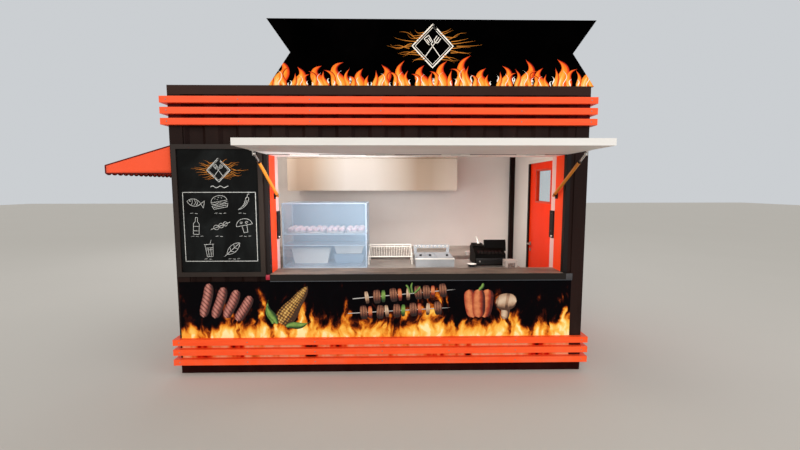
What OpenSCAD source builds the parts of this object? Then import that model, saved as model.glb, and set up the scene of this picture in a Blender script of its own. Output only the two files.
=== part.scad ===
// Street kiosk with a serving flap: steel frame, corrugated walls, timber battens,
// counter, side door, roof sign and side awning.
// Millimetres. X runs along the front, Y from the front to the back, Z up.
// The origin is on the ground, under the middle of the floor plan.

/* [Body] */
// Width of the steel body
body_w = 4000; // [3800:50:4600]
// Depth of the steel body
body_d = 2240; // [2240:20:2800]
// Height of the steel body
body_h = 2800; // [2780:10:3000]
// Height of the base frame
base_h = 100; // [80:5:120]
// Width of the base frame's rails
base_rail_w = 70; // [50:5:100]
// Height of the top rails
top_rail_h = 85; // [70:5:100]
// Width of the top rails
top_rail_w = 80; // [60:5:100]
// Side of the corner posts
post_w = 125; // [100:5:135]
// Wall of the corner posts and rails
tube_t = 5; // [4:1:8]
// Thickness of the floor deck
floor_t = 30; // [20:2:40]
// Thickness of the whole wall
wall_t = 60; // [55:1:75]

/* [Steel sheet] */
// Pitch of the waves in the wall sheets
wave_pitch = 315; // [280:5:340]
// Flat width of a wave's crest
wave_crest = 120; // [90:5:130]
// Width of a wave's sloping side
wave_slope = 35; // [20:5:45]
// Depth of the waves
wave_depth = 25; // [15:1:28]
// Thickness of the wall sheets
sheet_t = 3; // [2:0.5:4]
// Distance from the frame's face back to the crests
sheet_setback = 10; // [5:1:14]
// Thickness of the ceiling lining
ceiling_t = 25; // [15:1:30]
// Thickness of the flat part of the roof panel
roof_t = 30; // [20:1:40]
// Height of the roof panel's ribs
roof_rib_h = 18; // [10:1:24]
// Distance from rib to rib on the roof panel
roof_rib_pitch = 240; // [200:10:300]
// Width of a roof rib at its foot
roof_rib_w = 80; // [60:2:100]
// Width of a roof rib's top
roof_rib_top = 44; // [30:2:56]

/* [Serving opening] */
// From the body's left end to the opening
opening_left = 910; // [880:5:940]
// Width of the opening between the jambs
opening_w = 2885; // [2700:5:2900]
// Height of the counter above the ground
counter_z = 1000; // [960:5:1020]
// From the body's top down to the opening's head
head_drop = 640; // [620:5:670]
// Width of the dark frame round the opening
surround_w = 40; // [30:1:40]
// Thickness of the orange jamb boards
jamb_t = 18; // [12:1:24]
// Depth of the orange jamb boards
jamb_d = 190; // [170:5:200]
// Depth of the white guide channels behind the jambs
guide_d = 100; // [80:5:110]
// Height of the black cover plates on the guides
plate_h = 285; // [250:5:300]
// Height of the plates' lower edge above the counter
plate_up = 315; // [300:5:330]
// How far the cover plates stand out of the guides
plate_t = 14; // [5:1:18]
// From the guides' front edge to the cover plates
plate_front = 3; // [2:1:10]
// From the cover plates to the guides' rear edge
plate_rear = 3; // [2:1:20]

/* [Counter] */
// Depth of the counter board
counter_d = 290; // [270:5:310]
// Thickness of the counter board
counter_t = 40; // [30:2:50]
// How far the counter stands out of the front
counter_out = 20; // [15:1:30]
// Height of the counter's metal edge
edge_h = 70; // [60:2:80]
// Thickness of the counter's metal edge
edge_t = 4; // [3:1:5]
// How far the edge runs on past the opening at the right
edge_past = 86; // [60:2:86]

/* [Front panels] */
// Thickness of the printed front panel
print_t = 4; // [3:1:6]
// Gap between the counter's edge and the printed panel
print_gap = 4; // [3:1:6]
// From the body's left end to the front panels
panel_inset = 18; // [10:1:24]
// How far the printed panel reaches over the right corner post
print_past = 6; // [4:1:10]
// Width of the menu board's frame bars
board_bar = 44; // [36:1:46]
// How far the menu board's frame stands out
board_frame_t = 25; // [20:1:30]
// Thickness of the menu board inside its frame
board_t = 10; // [8:1:14]
// Height of the menu board's lower edge
board_z = 982; // [975:1:990]
// From the opening's head up to the menu board's upper edge
board_over = 92; // [20:1:110]

/* [Battens] */
// Height of a batten
batten_h = 60; // [50:1:65]
// Gap between battens
batten_gap = 40; // [30:1:45]
// How far the battens stand out of the body
batten_d = 50; // [40:1:55]
// Number of battens in a band
batten_count = 3; // [2:1:3]
// Gap between the upper band and the top rails
band_drop = 25; // [15:5:40]

/* [Serving flap] */
// Width of the flap
flap_w = 2890; // [2720:5:2900]
// Depth of the flap when it is raised
flap_d = 840; // [820:5:880]
// Thickness of the flap
flap_t = 55; // [45:1:60]
// Gap between the raised flap and the wall
flap_gap = 8; // [7:0.5:10]
// Radius of the hinge barrels
barrel_r = 6; // [5:0.5:6]
// Radius of the hinge pin
hinge_pin_r = 3; // [2.5:0.25:3.5]
// Number of barrels on the flap's side of the hinge
flap_barrels = 4; // [3:1:6]
// Length of each hinge barrel
barrel_l = 90; // [70:5:110]
// Running clearance at pins and rods
run_gap = 0.05; // [0.02:0.01:0.09]

/* [Gas struts] */
// From the jamb's face to the middle of a strut
strut_inset = 32; // [30:1:40]
// From the front face back to the strut's lower pivot
strut_foot_y = 215; // [200:5:225]
// From the opening's head down to the strut's lower pivot
strut_foot_drop = 403; // [380:1:420]
// From the front face out to the strut's upper pivot
strut_top_y = 440; // [430:5:450]
// From the flap's underside down to the upper pivot
strut_top_drop = 32; // [28:1:36]
// Length of the strut's cylinder from its pivot
cylinder_l = 640; // [600:5:645]
// Radius of the strut's cylinder
cylinder_r = 15; // [12:0.5:17]
// Radius of the strut's rod
rod_r = 9; // [6:0.5:10]
// Radius of the pivot pins
pivot_r = 5; // [4:0.5:6]
// Radius of the eyes round the pivot pins
eye_r = 13; // [12:0.5:14]
// Thickness of the eyes
eye_t = 14; // [10:1:16]
// Play of the upper eye round its pin
eye_play = 2.4; // [2.1:0.1:2.6]

/* [Side door] */
// From the front face to the door frame
door_y = 537; // [530:1:560]
// Width of the leaf
leaf_w = 910; // [800:5:920]
// Height of the leaf
leaf_h = 2017; // [1980:1:2025]
// Thickness of the leaf
leaf_t = 38; // [34:1:42]
// Gap round the leaf
leaf_gap = 8; // [6:0.5:10]
// Width of the door frame's bars
door_bar = 30; // [26:1:36]
// Thickness of the stop bead in the door frame
stop_t = 10; // [8:1:11]
// How far the stop bead reaches over the leaf's edge
stop_lap = 5; // [3:1:7]
// Width of the window in the leaf
pane_w = 464; // [400:2:500]
// Height of the window in the leaf
pane_h = 385; // [350:5:420]
// From the leaf's top down to the window
pane_drop = 105; // [90:5:130]
// Thickness of the door's glass
pane_t = 6; // [4:1:8]
// Radius of the door hinge's barrels
door_barrel_r = 9; // [8:0.5:10]
// Radius of the door hinge's pins
door_pin_r = 4; // [3:0.5:5]
// Length of one barrel of the door hinges
door_barrel_l = 50; // [40:2:60]
// From the leaf's ends to the outer hinges
door_hinge_in = 180; // [150:5:240]
// Height of the door handle above the ground
handle_z = 1090; // [1050:5:1120]
// From the leaf's free edge to the handle
handle_in = 60; // [50:2:80]
// Length of the door's levers
lever_l = 120; // [100:5:130]

/* [Roof sign] */
// From the body's left end to the sign
sign_left = 942; // [900:2:980]
// Width of the sign
sign_w = 3088; // [2900:2:3100]
// Height of the sign
sign_h = 606; // [560:2:640]
// Thickness of the sign
sign_t = 30; // [20:1:36]
// Depth of the notch in each end
sign_notch = 212; // [160:2:240]
// From the front face back to the sign
sign_y = 12; // [8:1:14]
// Side of the sign's posts
sign_post = 36; // [30:1:36]
// Height of the sign's posts
sign_post_h = 515; // [450:5:540]

/* [Side awning] */
// How far the awning reaches out from the wall
awning_out = 640; // [560:5:680]
// From the body's top down to the awning's upper edge
awning_drop = 550; // [530:5:600]
// Drop from the upper edge to the outer edge
awning_fall = 190; // [150:5:220]
// Height of the end panels at the outer edge
awning_end = 75; // [60:1:90]
// Height of the scalloped hanging edge
awning_hem = 90; // [70:2:110]
// Width of a scallop
scallop_w = 85; // [70:5:110]
// Thickness of the awning's cloth solid
cloth_t = 6; // [4:1:8]
// From the body's corners to the awning's ends
awning_inset = 30; // [20:2:60]
// Side of the awning's frame tubes
arm_w = 24; // [20:1:28]
// Number of sloping arms under the cloth
arm_count = 4; // [3:1:6]
// From the cloth down to the tube on the wall
wall_tube_drop = 12; // [10:1:16]

/* [Inside] */
// Height of the front work counter
worktop_z = 975; // [960:1:980]
// Depth of the front work counter
worktop_d = 640; // [600:5:660]
// Thickness of the worktops
worktop_t = 40; // [30:1:50]
// Side of the worktops' legs
leg_w = 40; // [30:1:50]
// From the body's right end to the end of the front worktop
worktop_right = 500; // [480:5:700]
// Height of the bench at the back wall
bench_z = 900; // [880:5:930]
// Depth of the bench at the back wall
bench_d = 600; // [550:5:620]
// Width of the bench at the back wall
bench_w = 2900; // [2600:10:3000]
// From the left lining to the bench
bench_left = 340; // [300:10:400]
// Height of the bench's upstand at the wall
splash_h = 50; // [30:5:80]
// From the left lining to the extractor hood
hood_left = 640; // [600:10:700]
// Width of the extractor hood
hood_w = 2280; // [2100:10:2400]
// Depth of the extractor hood
hood_d = 640; // [560:5:680]
// Height of the hood's lower edge
hood_z = 1800; // [1780:5:1850]
// Gap between the hood's top and the ceiling
hood_drop = 270; // [240:5:300]
// Height of the hood's sloping top
hood_crown = 200; // [160:5:220]
// Wall of the hood
hood_t = 4; // [2:1:6]
// Width of the display case
case_w = 905; // [860:5:920]
// Depth of the display case
case_d = 450; // [420:5:470]
// Height of the display case
case_h = 702; // [660:2:720]
// From the front face to the display case
case_y = 420; // [405:5:430]
// Side of the display case's bars
case_bar = 12; // [10:1:24]
// Thickness of the display case's glass
case_glass_t = 5; // [4:1:6]
// Height of the display case's main shelf above its foot
case_shelf = 363; // [340:1:380]
// Thickness of the display case's shelves
case_shelf_t = 8; // [5:1:10]
// From the main shelf down to the lower shelf
case_shelf_drop = 122; // [100:2:140]
// From the case's rear to the main shelf
case_shelf_back = 40; // [30:5:60]
// From the case's rear to the lower shelf
case_lower_back = 140; // [100:5:180]

/* [Wire rack] */
// From the middle of the body to the rack's left end
rack_x = -163; // [-164:1:-150]
// From the front face to the rack
rack_y = 600; // [500:10:610]
// Width of the rack
rack_w = 488; // [400:1:490]
// Depth of the rack
rack_d = 290; // [220:10:295]
// Height of the rack's front rail
rack_low = 90; // [60:5:110]
// Height of the rack's rear rail
rack_high = 185; // [150:5:220]
// Distance between the two rear rails
rack_rail_gap = 26; // [20:2:36]
// Side of the rack's rails
rack_rail = 10; // [9:0.5:12]
// Number of the rack's sloping wires
rack_wires = 16; // [8:1:18]
// Distance between the wires at the front
rack_wire_pitch = 27.5; // [24:0.5:28]
// How much wider the wires stand at the back
rack_fan = 1.12; // [1:0.01:1.14]
// Radius of the wires
rack_wire_r = 3.4; // [2.6:0.2:3.6]
// Number of posts between the rear rails
rack_posts = 6; // [4:1:8]

/* [Food warmer] */
// From the middle of the body to the warmer's left end
warmer_x = 360; // [345:5:380]
// From the front face to the warmer
warmer_y = 450; // [380:10:460]
// Width of the warmer
warmer_w = 425; // [360:5:440]
// Depth of the warmer
warmer_d = 430; // [360:5:440]
// Height of the warmer's deck
warmer_h = 91; // [80:1:120]
// Rim round the warmer's lids
warmer_rim = 20; // [12:1:26]
// Thickness of the lids
lid_t = 6; // [4:1:10]
// Radius of the lids' knobs
knob_r = 12; // [8:1:14]
// Height of the lids' knobs
knob_h = 18; // [12:1:24]
// Gap under the holed strip
warmer_strip_up = 55; // [40:1:70]
// Height of the holed strip
strip_h = 36; // [30:1:44]
// Thickness of the holed strip
strip_t = 8; // [5:1:10]
// Number of holes in the strip
strip_holes = 9; // [5:1:10]
// Radius of the holes in the strip
strip_hole_r = 9; // [6:0.5:12]

/* [Till and stand] */
// From the middle of the body to the till's left end
till_x = 1026; // [1000:2:1040]
// From the front face to the till
till_y = 500; // [460:5:540]
// Width of the till
till_w = 340; // [300:5:345]
// Depth of the till
till_d = 320; // [280:5:360]
// Height of the cash drawer
drawer_h = 95; // [80:5:110]
// Height of the console above the drawer
console_h = 95; // [80:5:110]
// Width of the screen
screen_w = 245; // [200:5:260]
// Height of the screen
screen_h = 130; // [120:5:160]
// Thickness of the screen
screen_t = 40; // [24:2:50]
// Tilt of the screen in degrees
screen_tilt = 12; // [6:1:16]
// How far the screen reaches past the till's right end
screen_past = 38; // [10:2:50]
// Width of the slip printer
printer_w = 120; // [100:5:125]
// Depth of the slip printer
printer_d = 150; // [130:5:160]
// Height of the slip printer
printer_h = 215; // [195:5:240]
// From the till's left end to the slip printer
printer_in = 8; // [4:1:20]
// From the middle of the body to the stand's left end
stand_x = 1328; // [1312:1:1335]
// From the front face to the stand
stand_y = 365; // [355:5:370]
// Width of the stand
stand_w = 126; // [110:2:160]
// Depth of the stand
stand_d = 120; // [100:5:125]
// Height of the stand
stand_h = 78; // [70:2:110]
// Thickness of the stand's top
stand_top_t = 26; // [20:1:34]
// Side of the stand's legs
stand_leg = 24; // [18:1:34]

/* [Hidden] */
$fn = 32;
eps = 0.01;

// Colours of the finishes
steel_dark = "#2a211f";
steel_black = "#1a1412";
orange = "#ff5a2c";
door_orange = "#ff4a22";
white_paint = "#efe9e2";
panel_white = "#f4f1ec";
stainless = "#c9beb1";

// Places that several pieces share
half_w = body_w / 2;
rail_z = body_h - top_rail_h;
head_z = body_h - head_drop;
ceiling_z = rail_z - ceiling_t;
floor_z = base_h + floor_t;
sheet_back = sheet_setback + wave_depth + sheet_t;
lining_t = wall_t - sheet_back;
opening_x0 = opening_left - half_w;
opening_x1 = opening_x0 + opening_w;
surround_x0 = opening_x0 - surround_w;
surround_x1 = opening_x1 + surround_w;
surround_z = head_z + surround_w;
band_pitch = batten_h + batten_gap;
band_h = batten_count * band_pitch - batten_gap;
lower_band_z = base_h;
upper_band_z = rail_z - band_drop - band_h;
counter_under = counter_z - counter_t;
jamb_y = wall_t;
guide_y = jamb_y + jamb_d;
soffit_y1 = guide_y + guide_d;

// Door opening, measured from the front face
door_open_w = leaf_w + 2 * leaf_gap;
door_hole_w = door_open_w + 2 * door_bar;
door_y1 = door_y + door_hole_w;
leaf_y = door_y + door_bar + leaf_gap;
leaf_z = floor_z + leaf_gap;
door_head_z = leaf_z + leaf_h + leaf_gap;
door_hole_z = door_head_z + door_bar;
leaf_x = half_w - leaf_t;
door_axis_x = half_w + door_barrel_r;
door_axis_y = leaf_y - leaf_gap + 1;
strap_t = 4;
strap_l = 44;
door_hinge_zs = [leaf_z + door_hinge_in, leaf_z + leaf_h / 2, leaf_z + leaf_h - door_hinge_in];

// Flap and struts, measured from the front face
flap_x0 = (opening_x0 + opening_x1) / 2 - flap_w / 2;
hinge_leaf_t = 3;
hinge_leaf_h = 40;
flap_axis_y = -flap_gap;
flap_axis_z = head_z - barrel_r - 1;
strut_top_z = head_z - strut_top_drop;
strut_foot_z = head_z - strut_foot_drop;
strut_dy = -strut_top_y - strut_foot_y;
strut_dz = strut_top_z - strut_foot_z;
strut_l = sqrt(strut_dy * strut_dy + strut_dz * strut_dz);
strut_tilt = atan2(strut_dz, -strut_dy);
strut_x_left = opening_x0 + strut_inset;
strut_x_right = opening_x1 - strut_inset;
bracket_plate = 60;
bracket_t = 4;
pin_past = 3;
neck_l = 30;
neck_r = 8;
rod_inside = 420;

// Everything below is drawn with Y measured from the front face
module from_front() { translate([0, -body_d / 2, 0]) children(); }

// A box between two corners
module block(a, b) { translate(a) cube([b[0] - a[0], b[1] - a[1], b[2] - a[2]]); }

// Trapezoid waves as a thin sheet, in plan, with the crests at y = 0
function wave_line(n, shift) = [
    for (k = [-n:n], p = [
        [-wave_crest / 2, 0], [wave_crest / 2, 0],
        [wave_crest / 2 + wave_slope, wave_depth],
        [wave_pitch - wave_crest / 2 - wave_slope, wave_depth]
    ]) [k * wave_pitch + p[0] + shift, p[1]]
];
function turned_round(line) = [for (i = [len(line) - 1:-1:0]) line[i]];
module wave_plan(n, shift) {
    outer = wave_line(n, shift);
    inner = [for (p = outer) [p[0], p[1] + sheet_t]];
    polygon(concat(outer, turned_round(inner)));
}
// Places of the waves, measured from the middle of the front
wave_shift = -30;
wave_n = ceil(body_w / 2 / wave_pitch) + 1;

// Wall sheet from x0 to x1 and z0 to z1, crests towards -Y
module wall_sheet(x0, x1, z0, z1) {
    translate([0, 0, z0]) linear_extrude(z1 - z0) intersection() {
        translate([0, sheet_setback]) wave_plan(wave_n, wave_shift);
        translate([x0, 0]) square([x1 - x0, wall_t]);
    }
}

// A band of battens of length l along X, standing out towards -Y
module batten_band(x0, x1, z0, depth) {
    for (i = [0:batten_count - 1])
        block([x0, -batten_d, z0 + i * band_pitch], [x1, depth - batten_d, z0 + i * band_pitch + batten_h]);
}

// Turns something drawn along the front so that it stands on the left or right side
module on_left() { translate([-half_w, body_d, 0]) rotate(-90) children(); }
module on_right() { translate([half_w, 0, 0]) rotate(90) children(); }
module on_rear() { translate([0, body_d, 0]) rotate(180) children(); }

module base_frame() {
    color(steel_black) from_front() {
        difference() {
            block([-half_w, 0, 0], [half_w, body_d, base_h]);
            block([-half_w + base_rail_w, base_rail_w, -1],
                [half_w - base_rail_w, body_d - base_rail_w, base_h + 1]);
        }
        for (x = [-half_w / 2, 0, half_w / 2])
            block([x - base_rail_w / 2, base_rail_w - eps, 0],
                [x + base_rail_w / 2, body_d - base_rail_w + eps, base_h]);
    }
}

module floor_deck() {
    color("#6f6a64") from_front() difference() {
        block([-half_w + sheet_back, sheet_back, base_h],
            [half_w - sheet_back, body_d - sheet_back, floor_z]);
        post_places(base_h - 1, floor_z + 1, 0);
        block([half_w - wall_t, door_y - eps, base_h - 1], [half_w, door_y1 + eps, floor_z + 1]);
    }
}

// The four corner posts' places, between two heights, grown by g
module post_places(z0, z1, g) {
    for (x = [-half_w, half_w - post_w], y = [0, body_d - post_w])
        block([x - g, y - g, z0], [x + post_w + g, y + post_w + g, z1]);
}

module corner_posts() {
    color(steel_dark) from_front() difference() {
        post_places(base_h, rail_z, 0);
        post_places(base_h - 1, rail_z + 1, -tube_t);
    }
}

module top_rails() {
    color(steel_dark) from_front() difference() {
        block([-half_w, 0, rail_z], [half_w, body_d, body_h]);
        block([-half_w + top_rail_w, top_rail_w, rail_z - 1],
            [half_w - top_rail_w, body_d - top_rail_w, body_h + 1]);
    }
}

module roof_panel() {
    roof_w = body_w - 2 * top_rail_w;
    ribs = floor((roof_w / 2 - roof_rib_w) / roof_rib_pitch);
    color("#3a3532") from_front() {
        translate([0, body_d - top_rail_w, rail_z]) rotate([90, 0, 0])
            linear_extrude(body_d - 2 * top_rail_w) {
                translate([-roof_w / 2, 0]) square([roof_w, roof_t]);
                for (i = [-ribs:ribs]) translate([i * roof_rib_pitch, roof_t - eps])
                    polygon([[-roof_rib_w / 2, 0], [roof_rib_w / 2, 0],
                        [roof_rib_top / 2, roof_rib_h], [-roof_rib_top / 2, roof_rib_h]]);
            }
    }
}

module interior_lining() {
    color(white_paint) from_front() difference() {
        block([-half_w + sheet_back, sheet_back, floor_z],
            [half_w - sheet_back, body_d - sheet_back, rail_z]);
        block([-half_w + wall_t, wall_t, floor_z - 1], [half_w - wall_t, body_d - wall_t, ceiling_z]);
        post_places(floor_z - 1, rail_z + 1, 0);
        block([surround_x0, 0, counter_under], [surround_x1, wall_t + 1, surround_z]);
        block([half_w - wall_t - 1, door_y, floor_z - 1], [half_w + 1, door_y1, door_hole_z]);
    }
}

module front_header() {
    color(steel_dark) from_front()
        wall_sheet(-half_w + post_w, half_w - post_w, surround_z, rail_z);
}
module front_wall_left() {
    color(steel_dark) from_front() wall_sheet(-half_w + post_w, surround_x0, base_h, surround_z);
}
module front_wall_right() {
    color(steel_dark) from_front() wall_sheet(surround_x1, half_w - post_w, base_h, surround_z);
}
module front_apron() {
    color(steel_dark) from_front() wall_sheet(surround_x0, surround_x1, base_h, counter_under);
}
module left_wall() {
    color(steel_dark) from_front() on_left() wall_sheet(post_w, body_d - post_w, base_h, rail_z);
}
module rear_wall() {
    color(steel_dark) from_front() on_rear()
        wall_sheet(-half_w + post_w, half_w - post_w, base_h, rail_z);
}
module right_wall_front() {
    color(steel_dark) from_front() on_right() wall_sheet(post_w, door_y, base_h, door_hole_z);
}
module right_wall_rear() {
    color(steel_dark) from_front() on_right() wall_sheet(door_y1, body_d - post_w, base_h, door_hole_z);
}
module right_wall_over_door() {
    color(steel_dark) from_front() on_right() wall_sheet(post_w, body_d - post_w, door_hole_z, rail_z);
}

// Dark steel frame in the wall round the serving opening: two uprights and a head
module opening_frame() {
    color(steel_black) from_front() {
        block([surround_x0, 0, counter_under], [opening_x0, wall_t, surround_z]);
        block([opening_x1, 0, counter_under], [surround_x1, wall_t, surround_z]);
        block([opening_x0 - eps, 0, head_z], [opening_x1 + eps, wall_t, surround_z]);
    }
}

module opening_jambs() {
    color(orange) from_front() for (x = [opening_x0 - jamb_t, opening_x1])
        block([x, jamb_y, counter_under], [x + jamb_t, guide_y, head_z]);
}

module opening_soffit() {
    color(white_paint) from_front()
        block([opening_x0 - jamb_t, jamb_y, head_z], [opening_x1 + jamb_t, soffit_y1, head_z + jamb_t]);
}

module guide_channels() {
    color(white_paint) from_front() for (x = [opening_x0 - jamb_t, opening_x1])
        block([x, guide_y, worktop_z], [x + jamb_t, soffit_y1, head_z]);
}

module cover_plates() {
    z = counter_z + plate_up;
    color(steel_black) from_front() for (x = [opening_x0, opening_x1 - plate_t])
        block([x, guide_y + plate_front, z], [x + plate_t, soffit_y1 - plate_rear, z + plate_h]);
}

module countertop() {
    color("#7a6656") from_front()
        block([opening_x0, -counter_out, counter_under], [opening_x1, counter_d - counter_out, counter_z]);
}

module counter_edge() {
    color("#1c1c20") from_front() {
        block([opening_x0, -counter_out - edge_t, counter_z - edge_h],
            [opening_x1 + edge_past, -counter_out, counter_z]);
        block([opening_x0, -counter_out - eps, counter_z - edge_h],
            [opening_x1 + edge_past, 0, counter_z - edge_h + edge_t]);
    }
}

print_top = counter_z - edge_h - print_gap;
module print_panel() {
    color("#141011") from_front()
        block([-half_w + panel_inset, -print_t, base_h], [half_w - post_w + print_past, 0, print_top]);
}

board_x0 = -half_w + panel_inset;
board_x1 = surround_x0;
board_h = head_z + board_over - board_z;
module menu_board_frame() {
    color("#3a302d") from_front() difference() {
        block([board_x0, -board_frame_t, board_z], [board_x1, 0, board_z + board_h]);
        block([board_x0 + board_bar, -board_frame_t - 1, board_z + board_bar],
            [board_x1 - board_bar, 1, board_z + board_h - board_bar]);
    }
}
module menu_board() {
    color("#1b1c1b") from_front()
        block([board_x0 + board_bar, -board_t, board_z + board_bar],
            [board_x1 - board_bar, 0, board_z + board_h - board_bar]);
}

module battens_front_upper() {
    color(orange) from_front() batten_band(-half_w - batten_d, half_w + batten_d, upper_band_z, batten_d);
}
module battens_front_lower() {
    color(orange) from_front()
        batten_band(-half_w - batten_d, half_w + batten_d, lower_band_z, batten_d - print_t);
}
module battens_left() {
    color(orange) from_front() on_left() {
        batten_band(0, body_d + print_t, lower_band_z, batten_d);
        batten_band(0, body_d, upper_band_z, batten_d);
    }
}
module battens_rear() {
    color(orange) from_front() on_rear() for (z = [lower_band_z, upper_band_z])
        batten_band(-half_w - batten_d, half_w + batten_d, z, batten_d);
}
module battens_right_upper() {
    color(orange) from_front() on_right() batten_band(0, body_d, upper_band_z, batten_d);
}
module battens_right_front_lower() {
    color(orange) from_front() on_right() batten_band(-print_t, door_y, lower_band_z, batten_d);
}
module battens_right_rear_lower() {
    color(orange) from_front() on_right() batten_band(door_y1, body_d, lower_band_z, batten_d);
}

sign_x0 = sign_left - half_w;
module roof_sign() {
    color("#0c0b0b") from_front() translate([sign_x0, sign_y + sign_t, body_h]) rotate([90, 0, 0])
        linear_extrude(sign_t) polygon([
            [0, 0], [sign_w, 0], [sign_w - sign_notch, sign_h / 2], [sign_w, sign_h],
            [0, sign_h], [sign_notch, sign_h / 2]
        ]);
}

// Three posts behind the sign
module sign_posts() {
    post_y = sign_y + sign_t;
    color(steel_black) from_front() for (part = [0.2, 0.5, 0.8]) {
        x = sign_x0 + sign_w * part - sign_post / 2;
        block([x, post_y, body_h], [x + sign_post, post_y + sign_post, body_h + sign_post_h]);
    }
}

// Section of the awning across the wall: x outwards from the wall, y up
awning_z = body_h - awning_drop;
awning_slope = atan2(awning_fall, awning_out);
awning_edge_z = awning_z - awning_fall;
module awning_section() {
    polygon([
        [0, awning_edge_z - awning_end], [awning_out, awning_edge_z - awning_end],
        [awning_out, awning_edge_z], [0, awning_z]
    ]);
}
awning_y0 = awning_inset;
awning_y1 = body_d - awning_inset;
awning_l = awning_y1 - awning_y0;

// Hanging edge with its scallops, flat: x along the edge, y up from its lowest points
module scalloped_edge() {
    n = round(awning_l / scallop_w);
    w = awning_l / n;
    r = w * 0.6;
    intersection() {
        square([awning_l, awning_hem]);
        union() {
            translate([0, r]) square([awning_l, awning_hem]);
            for (i = [0:n - 1]) translate([(i + 0.5) * w, r]) circle(r);
        }
    }
}

module side_awning() {
    hem_z = awning_edge_z - awning_hem;
    color(orange) from_front() {
        translate([-half_w, 0, 0]) rotate([90, 0, 180]) difference() {
            translate([0, 0, awning_y0]) linear_extrude(awning_l) awning_section();
            translate([0, 0, awning_y0 + cloth_t]) linear_extrude(awning_l - 2 * cloth_t)
                translate([-1, -cloth_t]) awning_section();
            translate([-1, 0, awning_y0 + cloth_t])
                cube([awning_out + 2, awning_edge_z - cloth_t, awning_l - 2 * cloth_t]);
        }
        translate([-half_w - awning_out, awning_y0, hem_z]) rotate([90, 0, 90])
            linear_extrude(cloth_t) scalloped_edge();
    }
}

module awning_frame() {
    arm_foot = arm_w * tan(awning_slope) + 1;
    arm_l = (awning_out - cloth_t) / cos(awning_slope) - arm_w;
    y0 = awning_y0 + cloth_t + 1;
    y1 = awning_y1 - cloth_t - 1;
    arm_in = 6;
    step = (y1 - y0 - arm_w - 2 * arm_in) / (arm_count - 1);
    top_z = awning_z - cloth_t - 1;
    color("#8d8a86") from_front() {
        block([-half_w - arm_w, y0, top_z - arm_w - wall_tube_drop], [-half_w, y1, top_z - wall_tube_drop]);
        for (i = [0:arm_count - 1])
            translate([-half_w, y0 + arm_in + i * step, top_z - 1]) rotate([0, -awning_slope, 0])
                translate([-arm_l, 0, -arm_w]) cube([arm_l - arm_foot, arm_w, arm_w]);
    }
}

// Wall half of the flap's hinge: a leaf on the head, barrels between the flap's own, and the pin
function flap_barrel_x(i) = flap_x0 + flap_w * (i + 0.5) / flap_barrels;
module barrel_along_x(x, l, r) {
    translate([x, flap_axis_y, flap_axis_z]) rotate([0, 90, 0]) cylinder(h = l, r = r);
}
module flap_hinge() {
    color("#9a9690") from_front() {
        for (i = [0:flap_barrels - 1], s = [-1, 1]) {
            x = flap_barrel_x(i) + (s < 0 ? -barrel_l * 1.5 - 1 : barrel_l / 2 + 1);
            difference() {
                union() {
                    barrel_along_x(x, barrel_l, barrel_r);
                    block([x, -hinge_leaf_t, flap_axis_z], [x + barrel_l, 0, flap_axis_z + hinge_leaf_h]);
                }
                barrel_along_x(x - 1, barrel_l + 2, hinge_pin_r - eps);
            }
        }
        for (i = [0:flap_barrels - 1])
            barrel_along_x(flap_barrel_x(i) - barrel_l * 1.5 - 4, barrel_l * 3 + 8, hinge_pin_r);
    }
}

// The flap with its half of the hinge and the two upper strut brackets
module flap_panel() {
    color(panel_white) from_front() {
        block([flap_x0, -flap_gap - flap_d, head_z], [flap_x0 + flap_w, -flap_gap, head_z + flap_t]);
        for (i = [0:flap_barrels - 1]) {
            x = flap_barrel_x(i) - barrel_l / 2;
            difference() {
                union() {
                    barrel_along_x(x, barrel_l, barrel_r);
                    block([x, flap_axis_y - hinge_leaf_h, head_z - hinge_leaf_t],
                        [x + barrel_l, flap_axis_y, head_z + eps]);
                }
                barrel_along_x(x - 1, barrel_l + 2, hinge_pin_r + run_gap);
            }
        }
        strut_head(strut_x_left, -1);
        strut_head(strut_x_right, 1);
    }
}

// Upper strut bracket under the flap: a plate, a lug and the pin through the eye
module strut_head(x, side) {
    lug_x = x + side * (eye_t / 2 + pin_past + bracket_t / 2);
    block([x - bracket_plate / 2, -strut_top_y - bracket_plate / 2, head_z - bracket_t],
        [x + bracket_plate / 2, -strut_top_y + bracket_plate / 2, head_z + eps]);
    translate([lug_x, -strut_top_y, 0]) {
        translate([-bracket_t / 2, -eye_r, strut_top_z]) cube([bracket_t, 2 * eye_r, strut_top_drop - 1]);
        translate([-bracket_t / 2, 0, strut_top_z]) rotate([0, 90, 0]) cylinder(h = bracket_t, r = eye_r);
    }
    translate([min(lug_x, x - side * (eye_t / 2 + pin_past)), -strut_top_y, strut_top_z]) rotate([0, 90, 0])
        cylinder(h = abs(lug_x - x) + eye_t / 2 + pin_past, r = pivot_r);
}

// Lower strut brackets on the jambs: a plate and the pin through the eye
module strut_brackets() {
    color(steel_black) from_front() for (s = [-1, 1]) {
        face = s < 0 ? opening_x0 : opening_x1;
        x = s < 0 ? strut_x_left : strut_x_right;
        y0 = strut_foot_y - bracket_plate / 2;
        block([min(face, face - s * bracket_t), y0, strut_foot_z - bracket_plate / 2],
            [max(face, face - s * bracket_t), y0 + bracket_plate, strut_foot_z + bracket_plate / 2]);
        translate([s < 0 ? face + bracket_t - eps : x - eye_t / 2 - pin_past, strut_foot_y, strut_foot_z])
            rotate([0, 90, 0])
                cylinder(h = strut_inset - bracket_t + eye_t / 2 + pin_past + eps, r = pivot_r);
    }
}

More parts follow.
